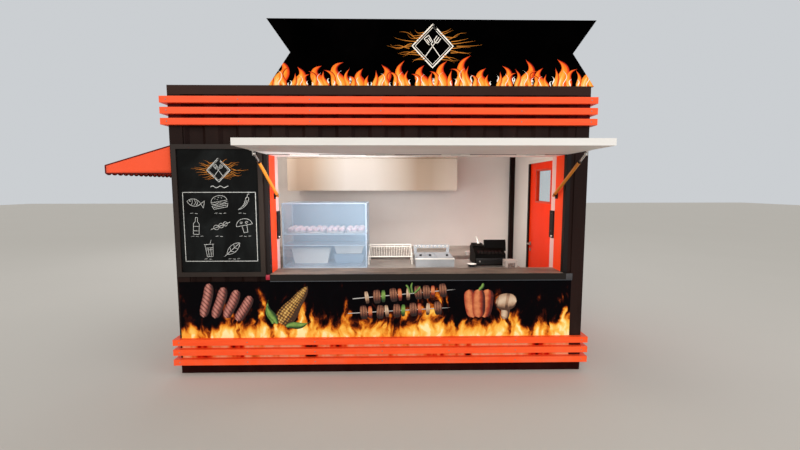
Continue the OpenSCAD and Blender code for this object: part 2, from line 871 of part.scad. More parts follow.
// Lays a strut piece, drawn upwards from its lower pivot, along the strut's line
module along_strut(x) {
    translate([x, strut_foot_y, strut_foot_z]) rotate([90 - strut_tilt, 0, 0]) children();
}
module eye(bore_r) {
    translate([-eye_t / 2, 0, 0]) rotate([0, 90, 0]) difference() {
        cylinder(h = eye_t, r = eye_r);
        translate([0, 0, -1]) cylinder(h = eye_t + 2, r = bore_r);
    }
}
module strut_cylinder(x) {
    from_front() along_strut(x) {
        eye(pivot_r + run_gap);
        difference() {
            translate([0, 0, eye_r - 4]) cylinder(h = neck_l, r = neck_r);
            rotate([0, 90, 0]) cylinder(h = 4 * neck_r, r = pivot_r + run_gap, center = true);
        }
        difference() {
            translate([0, 0, neck_l]) cylinder(h = cylinder_l - neck_l, r = cylinder_r);
            translate([0, 0, 2 * neck_l]) cylinder(h = cylinder_l, r = rod_r + run_gap);
        }
    }
}
module strut_rod(x) {
    rod_foot = cylinder_l - rod_inside;
    from_front() along_strut(x) {
        translate([0, 0, strut_l]) eye(pivot_r + eye_play);
        translate([0, 0, rod_foot]) cylinder(h = strut_l - eye_r + 3 - rod_foot, r = rod_r - 3);
        translate([0, 0, rod_foot]) cylinder(h = strut_l - eye_r - 6 - rod_foot, r = rod_r);
    }
}
module strut_cylinder_left() { color("#d98a2b") strut_cylinder(strut_x_left); }
module strut_cylinder_right() { color("#d98a2b") strut_cylinder(strut_x_right); }
module strut_rod_left() { color("#d9d6d0") strut_rod(strut_x_left); }
module strut_rod_right() { color("#d9d6d0") strut_rod(strut_x_right); }

// Steel door frame with a stop bead, the fixed hinge barrels and their pins
module door_frame() {
    x0 = half_w - wall_t;
    y_in = door_y + door_bar;
    y_out = door_y1 - door_bar;
    lap = leaf_gap + stop_lap;
    color(steel_black) from_front() {
        difference() {
            block([x0, door_y, base_h], [half_w, door_y1, door_hole_z]);
            block([x0 - 1, y_in + lap, floor_z], [half_w + 1, y_out - lap, door_head_z - lap]);
            block([x0 + stop_t, y_in, floor_z], [half_w + 1, y_out, door_head_z]);
        }
        for (z = door_hinge_zs) {
            translate([door_axis_x, door_axis_y, z - door_barrel_l]) {
                cylinder(h = door_barrel_l, r = door_barrel_r);
                cylinder(h = door_barrel_l * 2 - 4, r = door_pin_r);
            }
            block([half_w - eps, door_y, z - door_barrel_l], [half_w + strap_t, door_axis_y, z]);
        }
    }
}

module door_leaf() {
    pane_y = leaf_y + (leaf_w - pane_w) / 2;
    pane_z = leaf_z + leaf_h - pane_drop - pane_h;
    color(door_orange) from_front() difference() {
        union() {
            block([leaf_x, leaf_y, leaf_z], [half_w, leaf_y + leaf_w, leaf_z + leaf_h]);
            for (z = door_hinge_zs) {
                translate([door_axis_x, door_axis_y, z + 1])
                    cylinder(h = door_barrel_l - 1, r = door_barrel_r);
                block([half_w - eps, door_axis_y, z + 1],
                    [half_w + strap_t, door_axis_y + strap_l, z + door_barrel_l]);
            }
        }
        for (z = door_hinge_zs) translate([door_axis_x, door_axis_y, z])
            cylinder(h = door_barrel_l + 1, r = door_pin_r + run_gap);
        block([leaf_x - 1, pane_y, pane_z], [half_w + 1, pane_y + pane_w, pane_z + pane_h]);
    }
}

module door_glass() {
    pane_y = leaf_y + (leaf_w - pane_w) / 2;
    pane_z = leaf_z + leaf_h - pane_drop - pane_h;
    x = leaf_x + (leaf_t - pane_t) / 2;
    color("#cfe3ea", 0.4) from_front()
        block([x, pane_y, pane_z], [x + pane_t, pane_y + pane_w, pane_z + pane_h]);
}

// Lever and rose on each face of the leaf, with a lock rose below
module door_handle() {
    y = leaf_y + leaf_w - handle_in;
    rose_t = 8;
    rose_r = 26;
    lever_r = 9;
    lever_out = 44;
    lock_drop = 80;
    color("#b9b4ac") from_front() for (s = [-1, 1]) {
        face = s < 0 ? leaf_x : half_w;
        translate([face, y, handle_z]) rotate([0, s * 90, 0]) {
            cylinder(h = rose_t, r = rose_r);
            cylinder(h = lever_out + 4, r = lever_r);
        }
        translate([face + s * lever_out, y, handle_z]) rotate([90, 0, 0])
            cylinder(h = lever_l, r = lever_r);
        translate([face, y, handle_z - lock_drop]) rotate([0, s * 90, 0])
            cylinder(h = rose_t - 1, r = rose_r - 4);
    }
}

worktop_x1 = half_w - worktop_right;
module work_counter() {
    y0 = counter_d - counter_out;
    y1 = y0 + worktop_d;
    color(stainless) from_front() {
        block([opening_x0 + 1, y0, worktop_z - worktop_t], [worktop_x1, y1, worktop_z]);
        for (x = [opening_x0 + 1, worktop_x1 - leg_w], y = [soffit_y1 + 10, y1 - leg_w])
            block([x, y, floor_z], [x + leg_w, y + leg_w, worktop_z - worktop_t + eps]);
    }
}

module rear_bench() {
    bench_x0 = -half_w + wall_t + bench_left;
    y1 = body_d - wall_t;
    y0 = y1 - bench_d;
    splash_t = 12;
    color(stainless) from_front() {
        block([bench_x0, y0, bench_z - worktop_t], [bench_x0 + bench_w, y1, bench_z]);
        block([bench_x0, y1 - splash_t, bench_z - eps], [bench_x0 + bench_w, y1, bench_z + splash_h]);
        for (x = [bench_x0, bench_x0 + bench_w - leg_w], y = [y0, y1 - leg_w])
            block([x, y, floor_z], [x + leg_w, y + leg_w, bench_z - worktop_t + eps]);
    }
}

// Sheet hood, open below, with a sloping top back to the wall
hood_x0 = -half_w + wall_t + hood_left;
hood_top = ceiling_z - hood_drop - hood_z;
module hood_section(g) {
    polygon([[g, g], [g, hood_top - hood_crown - g], [hood_d * 0.45, hood_top - 1.5 * g],
        [hood_d - g, hood_top - g], [hood_d - g, g]]);
}
module extractor_hood() {
    y1 = body_d - wall_t;
    color(stainless) from_front() translate([hood_x0, y1 - hood_d, hood_z]) rotate([90, 0, 90]) difference() {
        linear_extrude(hood_w) hood_section(0);
        translate([0, 0, hood_t]) linear_extrude(hood_w - 2 * hood_t) hood_section(hood_t);
        translate([hood_t, -1, hood_t]) cube([hood_d - 2 * hood_t, hood_t + 2, hood_w - 2 * hood_t]);
    }
}

case_x0 = opening_x0 + 10;
module display_case() {
    color(white_paint) from_front() translate([case_x0, case_y, worktop_z]) {
        for (x = [0, case_w - case_bar], y = [0, case_d - case_bar])
            translate([x, y, 0]) cube([case_bar, case_bar, case_h]);
        for (z = [0, case_h - case_bar], y = [0, case_d - case_bar])
            translate([0, y, z]) cube([case_w, case_bar, case_bar]);
        for (z = [0, case_h - case_bar], x = [0, case_w - case_bar])
            translate([x, 0, z]) cube([case_bar, case_d, case_bar]);
        cube([case_w, case_d, case_bar / 2]);
        translate([0, 0, case_shelf]) cube([case_w, case_d - case_shelf_back, case_shelf_t]);
        translate([0, 0, case_shelf - case_shelf_drop])
            cube([case_w, case_d - case_lower_back, case_shelf_t]);
    }
}

module display_glass() {
    g = case_glass_t;
    lap = case_bar / 2;
    pane_long = case_w - 2 * lap;
    pane_deep = case_d - 2 * lap;
    pane_high = case_h - 2 * lap;
    color("#bcd8ea", 0.4) from_front() translate([case_x0, case_y, worktop_z]) {
        translate([lap, -g, lap]) cube([pane_long, g, pane_high]);
        for (x = [-g, case_w]) translate([x, lap, lap]) cube([g, pane_deep, pane_high]);
        translate([lap, lap, case_h]) cube([pane_long, pane_deep, g]);
    }
}

// Wire rack: a sloping grid of wires on a frame, with a double rail at the back
module wire_rack() {
    r = rack_rail / 2;
    low = rack_high - rack_rail_gap;
    slope = atan2(low - rack_low, rack_d);
    wire_l = norm([rack_d, low - rack_low]);
    side_in = rack_rail / 10;
    color("#e6ddd0") from_front() translate([rack_x, rack_y, worktop_z]) {
        for (p = [[0, rack_low], [rack_d, low], [rack_d, rack_high]])
            block([-r, p[0] - r, p[1] - r], [rack_w + r, p[0] + r, p[1] + r]);
        for (x = [0, rack_w]) {
            block([x - r, -r, 0], [x + r, r, rack_low]);
            block([x - r, rack_d - r, 0], [x + r, rack_d + r, rack_high]);
            translate([x - r + side_in, 0, rack_low]) rotate([slope, 0, 0]) translate([0, 0, side_in - r])
                cube([rack_rail - 2 * side_in, wire_l, rack_rail - 2 * side_in]);
        }
        for (i = [1:rack_posts - 2]) {
            x = rack_w * i / (rack_posts - 1);
            block([x - r, rack_d - r, low], [x + r, rack_d + r, rack_high]);
        }
        for (i = [0:rack_wires - 1]) {
            k = i - (rack_wires - 1) / 2;
            spread = atan2(k * rack_wire_pitch * (rack_fan - 1), wire_l);
            translate([rack_w / 2 + k * rack_wire_pitch, 0, rack_low])
                rotate([slope, 0, -spread]) rotate([-90, 0, 0]) cylinder(h = wire_l, r = rack_wire_r);
        }
    }
}

// Food warmer: a closed box with two narrow lids and a wide one on its deck, and a holed strip
// on two legs at the back
module food_warmer() {
    narrow_w = (warmer_w - 4 * warmer_rim) / 4;
    lid_ws = [narrow_w, narrow_w, 2 * narrow_w];
    knob_parts = [0.5, 0.5, 0.75];
    lid_d = warmer_d - 3 * warmer_rim;
    strip_z = warmer_h + warmer_strip_up;
    color(stainless) from_front() translate([warmer_x, warmer_y, worktop_z]) {
        cube([warmer_w, warmer_d, warmer_h]);
        for (i = [0:2]) translate([warmer_rim + i * (narrow_w + warmer_rim), warmer_rim, warmer_h - eps]) {
            cube([lid_ws[i], lid_d, lid_t]);
            translate([lid_ws[i] * knob_parts[i], lid_d / 3, lid_t - eps]) cylinder(h = knob_h, r = knob_r);
        }
        difference() {
            translate([0, warmer_d - strip_t, warmer_h - eps])
                cube([warmer_w, strip_t, strip_z + strip_h - warmer_h]);
            translate([strip_h, warmer_d - strip_t - 1, warmer_h - 1])
                cube([warmer_w - 2 * strip_h, strip_t + 2, warmer_strip_up + 1]);
            for (i = [0:strip_holes - 1])
                translate([warmer_w * (i + 0.5) / strip_holes, warmer_d + 1, strip_z + strip_h / 2])
                    rotate([90, 0, 0]) cylinder(h = strip_t + 2, r = strip_hole_r);
        }
    }
}

// Till: a cash drawer with a sloping console, and a screen and a slip printer on it
module till() {
    console_lip = 30;
    printer_brow = 18;
    color("#16110f") from_front() translate([till_x, till_y, worktop_z]) {
        cube([till_w, till_d, drawer_h]);
        translate([0, 0, drawer_h - eps]) rotate([90, 0, 90]) linear_extrude(till_w)
            polygon([[0, 0], [till_d, 0], [till_d, console_h], [till_d * 0.55, console_h], [0, console_lip]]);
        translate([till_w - screen_w + screen_past, till_d * 0.42, drawer_h + console_h / 2])
            rotate([-screen_tilt, 0, 0]) cube([screen_w, screen_t, screen_h]);
        translate([printer_in, till_d * 0.5, 0]) rotate([90, 0, 90]) linear_extrude(printer_w) polygon([
            [0, drawer_h], [printer_d, drawer_h], [printer_d, printer_h], [printer_d * 0.45, printer_h],
            [0, printer_h - printer_brow]
        ]);
    }
}

// Small stand with four legs
module service_stand() {
    color(panel_white) from_front() translate([stand_x, stand_y, worktop_z]) {
        translate([0, 0, stand_h - stand_top_t]) cube([stand_w, stand_d, stand_top_t]);
        for (x = [0, stand_w - stand_leg], y = [0, stand_d - stand_leg])
            translate([x, y, 0]) cube([stand_leg, stand_leg, stand_h - stand_top_t + eps]);
    }
}

base_frame();
floor_deck();
corner_posts();
top_rails();
roof_panel();
interior_lining();
front_header();
front_wall_left();
front_wall_right();
front_apron();
left_wall();
rear_wall();
right_wall_front();
right_wall_rear();
right_wall_over_door();
opening_frame();
opening_jambs();
opening_soffit();
guide_channels();
cover_plates();
countertop();
counter_edge();
print_panel();
menu_board_frame();
menu_board();
battens_front_upper();
battens_front_lower();
battens_left();
battens_rear();
battens_right_upper();
battens_right_front_lower();
battens_right_rear_lower();
roof_sign();
sign_posts();
side_awning();
awning_frame();
flap_hinge();
flap_panel();
strut_brackets();
strut_cylinder_left();
strut_cylinder_right();
strut_rod_left();
strut_rod_right();
door_frame();
door_leaf();
door_glass();
door_handle();
work_counter();
rear_bench();
extractor_hood();
display_case();
display_glass();
wire_rack();
food_warmer();
till();
service_stand();
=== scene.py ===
import math
import random

import bmesh
import bpy
from mathutils import Matrix, Vector
from mathutils import noise as noiseField


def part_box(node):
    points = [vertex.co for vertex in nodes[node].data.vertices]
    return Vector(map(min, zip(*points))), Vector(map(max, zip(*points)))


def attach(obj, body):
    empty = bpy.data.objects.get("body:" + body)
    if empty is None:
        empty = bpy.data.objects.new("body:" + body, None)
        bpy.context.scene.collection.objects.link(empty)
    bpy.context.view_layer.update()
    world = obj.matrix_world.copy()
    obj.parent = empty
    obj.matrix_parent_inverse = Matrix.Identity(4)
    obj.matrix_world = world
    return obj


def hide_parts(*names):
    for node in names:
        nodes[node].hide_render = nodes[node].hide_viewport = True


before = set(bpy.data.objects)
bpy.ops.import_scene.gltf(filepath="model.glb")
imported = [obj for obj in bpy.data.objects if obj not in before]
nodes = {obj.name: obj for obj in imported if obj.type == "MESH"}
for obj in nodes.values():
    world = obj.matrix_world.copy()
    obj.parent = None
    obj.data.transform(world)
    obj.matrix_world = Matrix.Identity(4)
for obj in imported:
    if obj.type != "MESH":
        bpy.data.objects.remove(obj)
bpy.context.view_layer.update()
print("frame loaded:", len(nodes), "nodes")

# Camera, floor and lights

cameraSetup = {
    "place": (0.105, -4.999, 1.853),
    "pitchDown": 5.489,
    "turn": -1.09,
    "roll": 0.057,
    "lens": 18.0,
    "sensor": 36.0,
    "farClip": 120,
}
stageSetup = {
    "floorHalf": 40.0,
    "floorColour": "#c9c3b9",
    "floorShade": 0.96,
    "floorRough": 0.85,
    "skyColour": "#e8ecf0",
    "skyStrength": 0.74,
}
lampSetup = [
    {"name": "keyLight", "kind": "SUN", "place": (-2.2, -8.0, 3.6), "aim": (0.0, 0.0, 0.6),
     "size": 42, "power": 1.6, "tint": "#fff6eb"},
    {"name": "fillLight", "kind": "AREA", "place": (6.5, -6.5, 3.4), "aim": (0.4, -0.6, 1.4),
     "size": 4.0, "power": 110, "tint": "#f2f5ff"},
    {"name": "roomLight", "kind": "AREA", "place": (-0.75, -0.25, 2.66), "aim": (-0.75, 0.0, 0.0),
     "size": 2.2, "tall": 0.8, "power": 24, "tint": "#fffaf6"},
    {"name": "sideLight", "kind": "AREA", "place": (1.0, -0.3, 1.75), "aim": (2.0, -0.6, 1.15),
     "size": 0.6, "power": 6.5, "tint": "#fff4ea"},
    {"name": "doorwayLight", "kind": "AREA", "place": (-0.05, -1.04, 1.66), "aim": (-1.0, 1.0, 1.62),
     "size": 2.2, "tall": 0.8, "power": 17, "tint": "#fbfcff"},
    {"name": "backLight", "kind": "AREA", "place": (-2.0, 8.0, 5.5), "aim": (0.0, 0.0, 1.2),
     "size": 5.0, "power": 200, "tint": "#f4f6ff"},
]
innerLamps = ("roomLight", "sideLight", "doorwayLight")  # these aren't seen in or through glass


def linear(code):  # "#ff5a2c" as the linear colour that the shaders take
    channels = [int(code[i:i + 2], 16) / 255 for i in (1, 3, 5)]
    return tuple(c / 12.92 if c <= 0.04045 else ((c + 0.055) / 1.055) ** 2.4 for c in channels) + (1.0,)


def makeCamera():
    data = bpy.data.cameras.new("photoCamera")
    data.lens = cameraSetup["lens"]
    data.sensor_width = cameraSetup["sensor"]
    data.clip_end = cameraSetup["farClip"]
    camera = bpy.data.objects.new("photoCamera", data)
    camera.location = cameraSetup["place"]
    angles = (90 - cameraSetup["pitchDown"], cameraSetup["roll"], cameraSetup["turn"])
    camera.rotation_euler = [math.radians(a) for a in angles]
    bpy.context.scene.collection.objects.link(camera)
    bpy.context.scene.camera = camera


def makeLamps():
    for lamp in lampSetup:
        data = bpy.data.lights.new(lamp["name"], lamp["kind"])
        if lamp["kind"] == "SUN":
            data.angle = math.radians(lamp["size"])
        else:
            data.size = lamp["size"]
            if "tall" in lamp:
                data.shape = "RECTANGLE"
                data.size_y = lamp["tall"]
        data.energy = lamp["power"]
        data.color = linear(lamp["tint"])[:3]
        light = bpy.data.objects.new(lamp["name"], data)
        light.location = lamp["place"]
        towards = Vector(lamp["aim"]) - Vector(lamp["place"])
        light.rotation_euler = towards.to_track_quat("-Z", "Y").to_euler()
        light.visible_camera = False
        light.visible_glossy = light.visible_transmission = lamp["name"] not in innerLamps
        bpy.context.scene.collection.objects.link(light)


def makeFloor():
    bm = bmesh.new()
    bmesh.ops.create_grid(bm, x_segments=1, y_segments=1, size=stageSetup["floorHalf"])
    mesh = bpy.data.meshes.new("floor")
    bm.to_mesh(mesh)
    bm.free()
    floor = bpy.data.objects.new("floor", mesh)
    bpy.context.scene.collection.objects.link(floor)
    return floor


def makeSky():
    world = bpy.data.worlds.new("studioSky")
    bpy.context.scene.world = world
    world.use_nodes = True
    background = world.node_tree.nodes["Background"]
    background.inputs["Color"].default_value = linear(stageSetup["skyColour"])
    background.inputs["Strength"].default_value = stageSetup["skyStrength"]


makeCamera()
makeLamps()
makeSky()
floor = makeFloor()
bpy.context.scene.view_settings.view_transform = "Standard"
print("camera, floor and lights placed")

# Shader helpers


def setInputs(tree, node, values):  # a socket is linked, anything else becomes the input's own value
    for key, value in values.items():
        if isinstance(value, bpy.types.NodeSocket):
            tree.links.new(value, node.inputs[key])
        else:
            node.inputs[key].default_value = value


def addNode(tree, kind, inputs, **settings):
    node = tree.nodes.new(kind)
    for key, value in settings.items():
        setattr(node, key, value)
    setInputs(tree, node, inputs)
    return node


def sums(tree, operation, a, b=0.0, c=0.0, clamp=False):
    values = {0: a, 1: b, 2: c}
    return addNode(tree, "ShaderNodeMath", values, operation=operation, use_clamp=clamp).outputs[0]


def times(tree, a, b):
    return sums(tree, "MULTIPLY", a, b)


def scaled(tree, value, factor, plus, clamp=False):
    return sums(tree, "MULTIPLY_ADD", value, factor, plus, clamp)


def vectorSums(tree, operation, a, b, c=(0, 0, 0)):
    return addNode(tree, "ShaderNodeVectorMath", {0: a, 1: b, 2: c}, operation=operation).outputs[0]


def stretched(tree, vector, factors):
    return vectorSums(tree, "MULTIPLY", vector, factors)


def axisOf(tree, vector, axis):
    return addNode(tree, "ShaderNodeSeparateXYZ", {0: vector}).outputs[axis]


def noiseAt(tree, vector, scale, detail=4.0, roughness=0.55, distortion=0.0, output=0, **settings):
    values = {"Vector": vector, "Scale": scale, "Detail": detail, "Roughness": roughness,
              "Distortion": distortion}
    return addNode(tree, "ShaderNodeTexNoise", values, **settings).outputs[output]


def stepped(tree, value, low, high, outLow=0.0, outHigh=1.0):
    values = {"Value": value, "From Min": low, "From Max": high, "To Min": outLow, "To Max": outHigh}
    return addNode(tree, "ShaderNodeMapRange", values, interpolation_type="SMOOTHSTEP").outputs[0]


def mixed(tree, factor, a, b, blend="MIX"):
    values = {0: factor, 6: a, 7: b}
    return addNode(tree, "ShaderNodeMix", values, data_type="RGBA", blend_type=blend).outputs[2]


def ramped(tree, value, stops):
    node = addNode(tree, "ShaderNodeValToRGB", {"Fac": value})
    ramp = node.color_ramp
    while len(ramp.elements) < len(stops):
        ramp.elements.new(0.5)
    for element, (place, code) in zip(ramp.elements, stops):
        element.position = place
        element.color = linear(code)
    return node.outputs[0]


def bumped(tree, shader, height, strength, distance):
    values = {"Height": height, "Strength": strength, "Distance": distance}
    tree.links.new(addNode(tree, "ShaderNodeBump", values).outputs[0], shader.inputs["Normal"])


def newGroup(name, inputs, outputs):
    group = bpy.data.node_groups.new(name, "ShaderNodeTree")
    for label, kind, value in inputs:
        socket = group.interface.new_socket(label, in_out="INPUT", socket_type=kind)
        if value is not None:
            socket.default_value = value
    for label, kind in outputs:
        group.interface.new_socket(label, in_out="OUTPUT", socket_type=kind)
    return group, group.nodes.new("NodeGroupInput").outputs, group.nodes.new("NodeGroupOutput")


def useGroup(tree, group, inputs):
    return addNode(tree, "ShaderNodeGroup", inputs, node_tree=group).outputs


def startMaterial(name):
    material = bpy.data.materials.new(name)
    material.use_nodes = True
    tree = material.node_tree
    return material, tree, tree.nodes["Principled BSDF"], tree.nodes.new("ShaderNodeTexCoord").outputs


def paintShader(tree, shader, colour, rough, shine):
    setInputs(tree, shader, {"Base Color": colour, "Roughness": rough, "Specular IOR Level": shine})


# Shared effects

vectorKind, valueKind, colourKind = "NodeSocketVector", "NodeSocketFloat", "NodeSocketColor"


def makeAgedPaint():  # broad tone, fine grain, dust near the ground and small chips
    group, start, end = newGroup(
        "agedPaint",
        [("Vector", vectorKind, None), ("Streak", vectorKind, (1, 1, 1)), ("Scale", valueKind, 3.0),
         ("Dust Top", valueKind, 0.6)],
        [("Tone", valueKind), ("Fine", valueKind), ("Dust", valueKind), ("Chips", valueKind)],
    )
    spot = start["Vector"]
    low = sums(group, "SUBTRACT", start["Dust Top"], axisOf(group, spot, "Z"))
    low = sums(group, "DIVIDE", low, start["Dust Top"], clamp=True)
    patches = noiseAt(group, stretched(group, spot, (1, 1, 0.5)), 7, 6, 0.65)
    setInputs(group, end, {
        "Tone": noiseAt(group, stretched(group, spot, start["Streak"]), start["Scale"], 6, 0.6),
        "Fine": noiseAt(group, spot, 180, 3, 0.7),
        "Dust": times(group, sums(group, "POWER", low, 1.4), stepped(group, patches, 0.34, 0.7)),
        "Chips": stepped(group, noiseAt(group, spot, 26, 5, 0.62), 0.69, 0.73),
    })
    return group


def makeTimberGrain():  # grain that runs along X of the vector it is given
    group, start, end = newGroup(
        "timberGrain", [("Vector", vectorKind, None)], [("Grain", valueKind), ("Height", valueKind)]
    )
    grain = noiseAt(group, stretched(group, start["Vector"], (1.3, 26, 26)), 1.6, 7, 0.6, 0.6)
    pores = noiseAt(group, stretched(group, start["Vector"], (9, 190, 190)), 1.4, 2)
    setInputs(group, end, {"Grain": grain, "Height": scaled(group, pores, 0.35, grain)})
    return group


def makeBrushed():  # fine lines along the direction that the stretch keeps short
    group, start, end = newGroup(
        "brushedLines",
        [("Vector", vectorKind, None), ("Stretch", vectorKind, (2, 2, 240))],
        [("Lines", valueKind), ("Cloud", valueKind)],
    )
    along = stretched(group, start["Vector"], start["Stretch"])
    setInputs(group, end, {
        "Lines": noiseAt(group, along, 1.0, 3, 0.6),
        "Cloud": noiseAt(group, start["Vector"], 2.4, 5, 0.6),
    })
    return group


def makeWeave():  # plain canvas weave on a UV map in metres
    group, start, end = newGroup(
        "canvasWeave",
        [("Vector", vectorKind, None), ("Threads", valueKind, 900.0)],
        [("Height", valueKind), ("Tone", valueKind)],
    )
    scale = times(group, start["Threads"], 0.32)
    values = {"Vector": start["Vector"], "Scale": scale, "Distortion": 0.4, "Detail": 1.0}
    heights = [addNode(group, "ShaderNodeTexWave", values, bands_direction=axis).outputs[1] for axis in "XY"]
    tone = noiseAt(group, start["Vector"], 3.5, 6, 0.6)
    setInputs(group, end, {"Height": sums(group, "MAXIMUM", *heights), "Tone": tone})
    return group


fireStops = [
    (0.0, "#050305"), (0.26, "#080405"), (0.36, "#33100a"), (0.44, "#8a3a10"), (0.52, "#cf701c"),
    (0.62, "#ea9c34"), (0.74, "#f6b94c"), (0.88, "#fbd070"), (1.0, "#fee9a8"),
]
fireWarps = [(2.6, 0.5, (0.3, 0, 0.22)), (11, 0.55, (0.075, 0, 0.06))]  # scale, roughness, reach


def makeFire():  # printed fire: hot at its foot, torn into tongues and smoke above
    group, start, end = newGroup(
        "printedFire",
        [("Vector", vectorKind, None), ("Foot", valueKind, 0.3), ("Reach", valueKind, 0.3)],
        [("Color", colourKind)],
    )
    flat = stretched(group, start["Vector"], (1, 0, 1))
    height = axisOf(group, start["Vector"], "Z")
    rise = sums(group, "DIVIDE", sums(group, "SUBTRACT", height, start["Foot"]), start["Reach"])
    bent = flat
    for scale, roughness, reach in fireWarps:
        cloud = noiseAt(group, flat, scale, 3, roughness, output=1)
        warp = vectorSums(group, "ADD", cloud, (-0.5, -0.5, -0.5))
        bent = vectorSums(group, "MULTIPLY_ADD", warp, reach, bent)
    licks = noiseAt(group, stretched(group, bent, (1, 1, 0.42)), 10.5, 4, 0.55)
    finer = stretched(group, bent, (1, 1, 0.5))
    threads = noiseAt(group, finer, 15, 3, 0.5, noise_type="RIDGED_MULTIFRACTAL")
    tall = noiseAt(group, stretched(group, flat, (1, 0, 0)), 3.1, 1, 0.5)
    body = scaled(group, licks, 3.2, scaled(group, tall, 2.5, -1.86))
    body = sums(group, "SUBTRACT", body, times(group, rise, 0.92))
    body = sums(group, "ADD", body, stepped(group, rise, 0.2, 0.52, 0.5, 0.0))
    body = sums(group, "ADD", body, 0.2)
    heat = sums(group, "MULTIPLY", body, scaled(group, threads, 0.85, 0.46), clamp=True)
    setInputs(group, end, {"Color": ramped(group, heat, fireStops)})
    return group


agedPaint = makeAgedPaint()
timberGrain = makeTimberGrain()
brushedLines = makeBrushed()
canvasWeave = makeWeave()
printedFire = makeFire()
print("shared effects made")

# Finishes of the fixed frame

battenBounceAndShade = [  # painted orange bounce light and shade: the sheets between and behind the battens are dark red
    ((-9, -9, 2.43), (9, 9, 2.695), "#480000"),
    ((-9, -9, -1), (9, 9, 0.36), "#440201"),
]
doorHead = [((-9, -9, 2.15), (1.951, 9, 9), "#e9e0d6")]  # the frame's head is white inside
paneLitFoot = [((-9, -9, -1), (9, 9, 1.345), "#97b0c7")]  # painted light and shade: the case's rear pane is paler low down and darker up high


def paint(base, worn, dust, rough, dusty=0.0, streak=(1, 1, 1), shine=0.4, patches=()):
    return {"base": base, "worn": worn, "dust": dust, "rough": rough, "dusty": dusty, "streak": streak,
            "shine": shine, "patches": patches}


paints = {  # base, worn, dust, rough, then dusty, streak, shine and patches where they differ from the usual
    "darkSteel": paint("#1e110e", "#2b1c18", "#4e4038", 0.5, 0.35, (1, 1, 0.16), 0.06, battenBounceAndShade),
    # painted light: the rails take a lighter copy of the dark steel, and the header and walls the darker one,
    # as if in the battens' shade
    "railSteelLitCopy": paint("#2d1913", "#39241d", "#4e4038", 0.5, 0.0, (0.3, 1, 1), 0.1),
    "blackSteel": paint("#130d0c", "#231a18", "#3f352f", 0.5, 0.35, (1, 1, 0.3), 0.15),
    "doorFrame": paint("#130d0c", "#231a18", "#3f352f", 0.5, 0.35, (1, 1, 0.3), 0.15, doorHead),
    # painted orange bounce light: the base frame's near-black is tinted red
    "baseBlackBounceRed": paint("#1c0201", "#280503", "#4a2f28", 0.55, 0.1, (0.3, 0.3, 1), 0.04),
    "boardFrame": paint("#241b17", "#312721", "#5c5048", 0.55, 0.0, (1, 1, 0.4), 0.2),
    "roofPaint": paint("#3a3532", "#57514c", "#8d857b", 0.6, 0.0, (1, 0.25, 1)),
    "whitePaint": paint("#fbf6f0", "#efe7dd", "#b9ada0", 0.42, 0.2, (1, 1, 0.3)),
    # painted orange bounce light: the white guide channels are tinted pink as if lit by the orange jambs
    "guideBouncePink": paint("#e8bcb7", "#dcb0ab", "#b9a49a", 0.42, 0.2, (1, 1, 0.3)),
    "lining": paint("#f0eae4", "#e9e2da", "#b9a49a", 0.5, 0.3, (0.4, 0.4, 0.3)),
    "flapWhite": paint("#e6e4e0", "#dad6d0", "#c9bfb3", 0.58, 0.0, (0.3, 1, 1), 0.2),
    "caseFrame": paint("#bccad8", "#b0bfce", "#a2adb8", 0.3),
    # painted sky reflection: the case's rear pane and one box are pale blue, standing in for the sky
    # reflected in the glass
    "paneSkyReflectionBlue": paint("#758a9b", "#808c98", "#98a2ac", 0.3, 0.0, (0.3, 0.3, 1), 0.3, paneLitFoot),
    "boxGrey": paint("#f4f3ee", "#eae9e5", "#b9bcbc", 0.5),
    "standGrey": paint("#b4a79f", "#9d918a", "#80766f", 0.4),
    "doorOrange": paint("#ff3608", "#f43004", "#a8654a", 0.45, 0.1, (1, 1, 0.3), 0.12),
    "jambOrange": paint("#ff4818", "#f43f10", "#a8654a", 0.45, 0.0, (1, 1, 0.3), 0.12),
    "tillBlack": paint("#060403", "#0d0a09", "#2f2824", 0.5, shine=0.06),
    "edgeBlack": paint("#120d0a", "#1d1713", "#4a4039", 0.45, 0.0, (0.2, 1, 1), 0.2),
    "wireCream": paint("#f2ebe0", "#dfd5c6", "#b5a896", 0.35),
    "floorSheet": paint("#6b6560", "#85807a", "#9a9087", 0.6, 0.4, (0.4, 1, 1)),
    "pipingRed": paint("#5a0d0a", "#7a1812", "#7a4a3c", 0.6, shine=0.2),
    "beadOrange": paint("#e8401c", "#c93414", "#a8654a", 0.36),
    "blackPlastic": paint("#100d0d", "#1c1817", "#38312e", 0.42, shine=0.2),
    "plasticWhite": paint("#f2efe9", "#e0dbd2", "#c2b9ac", 0.38),
    "crimson": paint("#9c1830", "#7d1226", "#70443f", 0.4),
    "trimGrey": paint("#3e4247", "#33363a", "#4a4642", 0.36, 0.0, (0.2, 1, 1), 0.3),
    "edgeGrey": paint("#3a393b", "#4b494b", "#5f5751", 0.42, shine=0.3),
    "keyGrey": paint("#141111", "#1f1b1a", "#3c3734", 0.5, shine=0.15),
    "keyDark": paint("#200a08", "#2c100d", "#3c3330", 0.5, shine=0.15),
    "paper": paint("#f6f3ec", "#e8e3d8", "#cfc8ba", 0.8),
    "dishDark": paint("#23262b", "#33363c", "#4a4948", 0.3),
    "strutGold": paint("#d8862a", "#b86f1f", "#7c5424", 0.3),
}


def boxMask(tree, vector, low, high):  # 1 inside a box, 0 outside
    parts = addNode(tree, "ShaderNodeSeparateXYZ", {0: vector}).outputs
    mask = 1.0
    for axis in range(3):
        mask = times(tree, sums(tree, "GREATER_THAN", parts[axis], low[axis]), mask)
        mask = times(tree, sums(tree, "LESS_THAN", parts[axis], high[axis]), mask)
    return mask


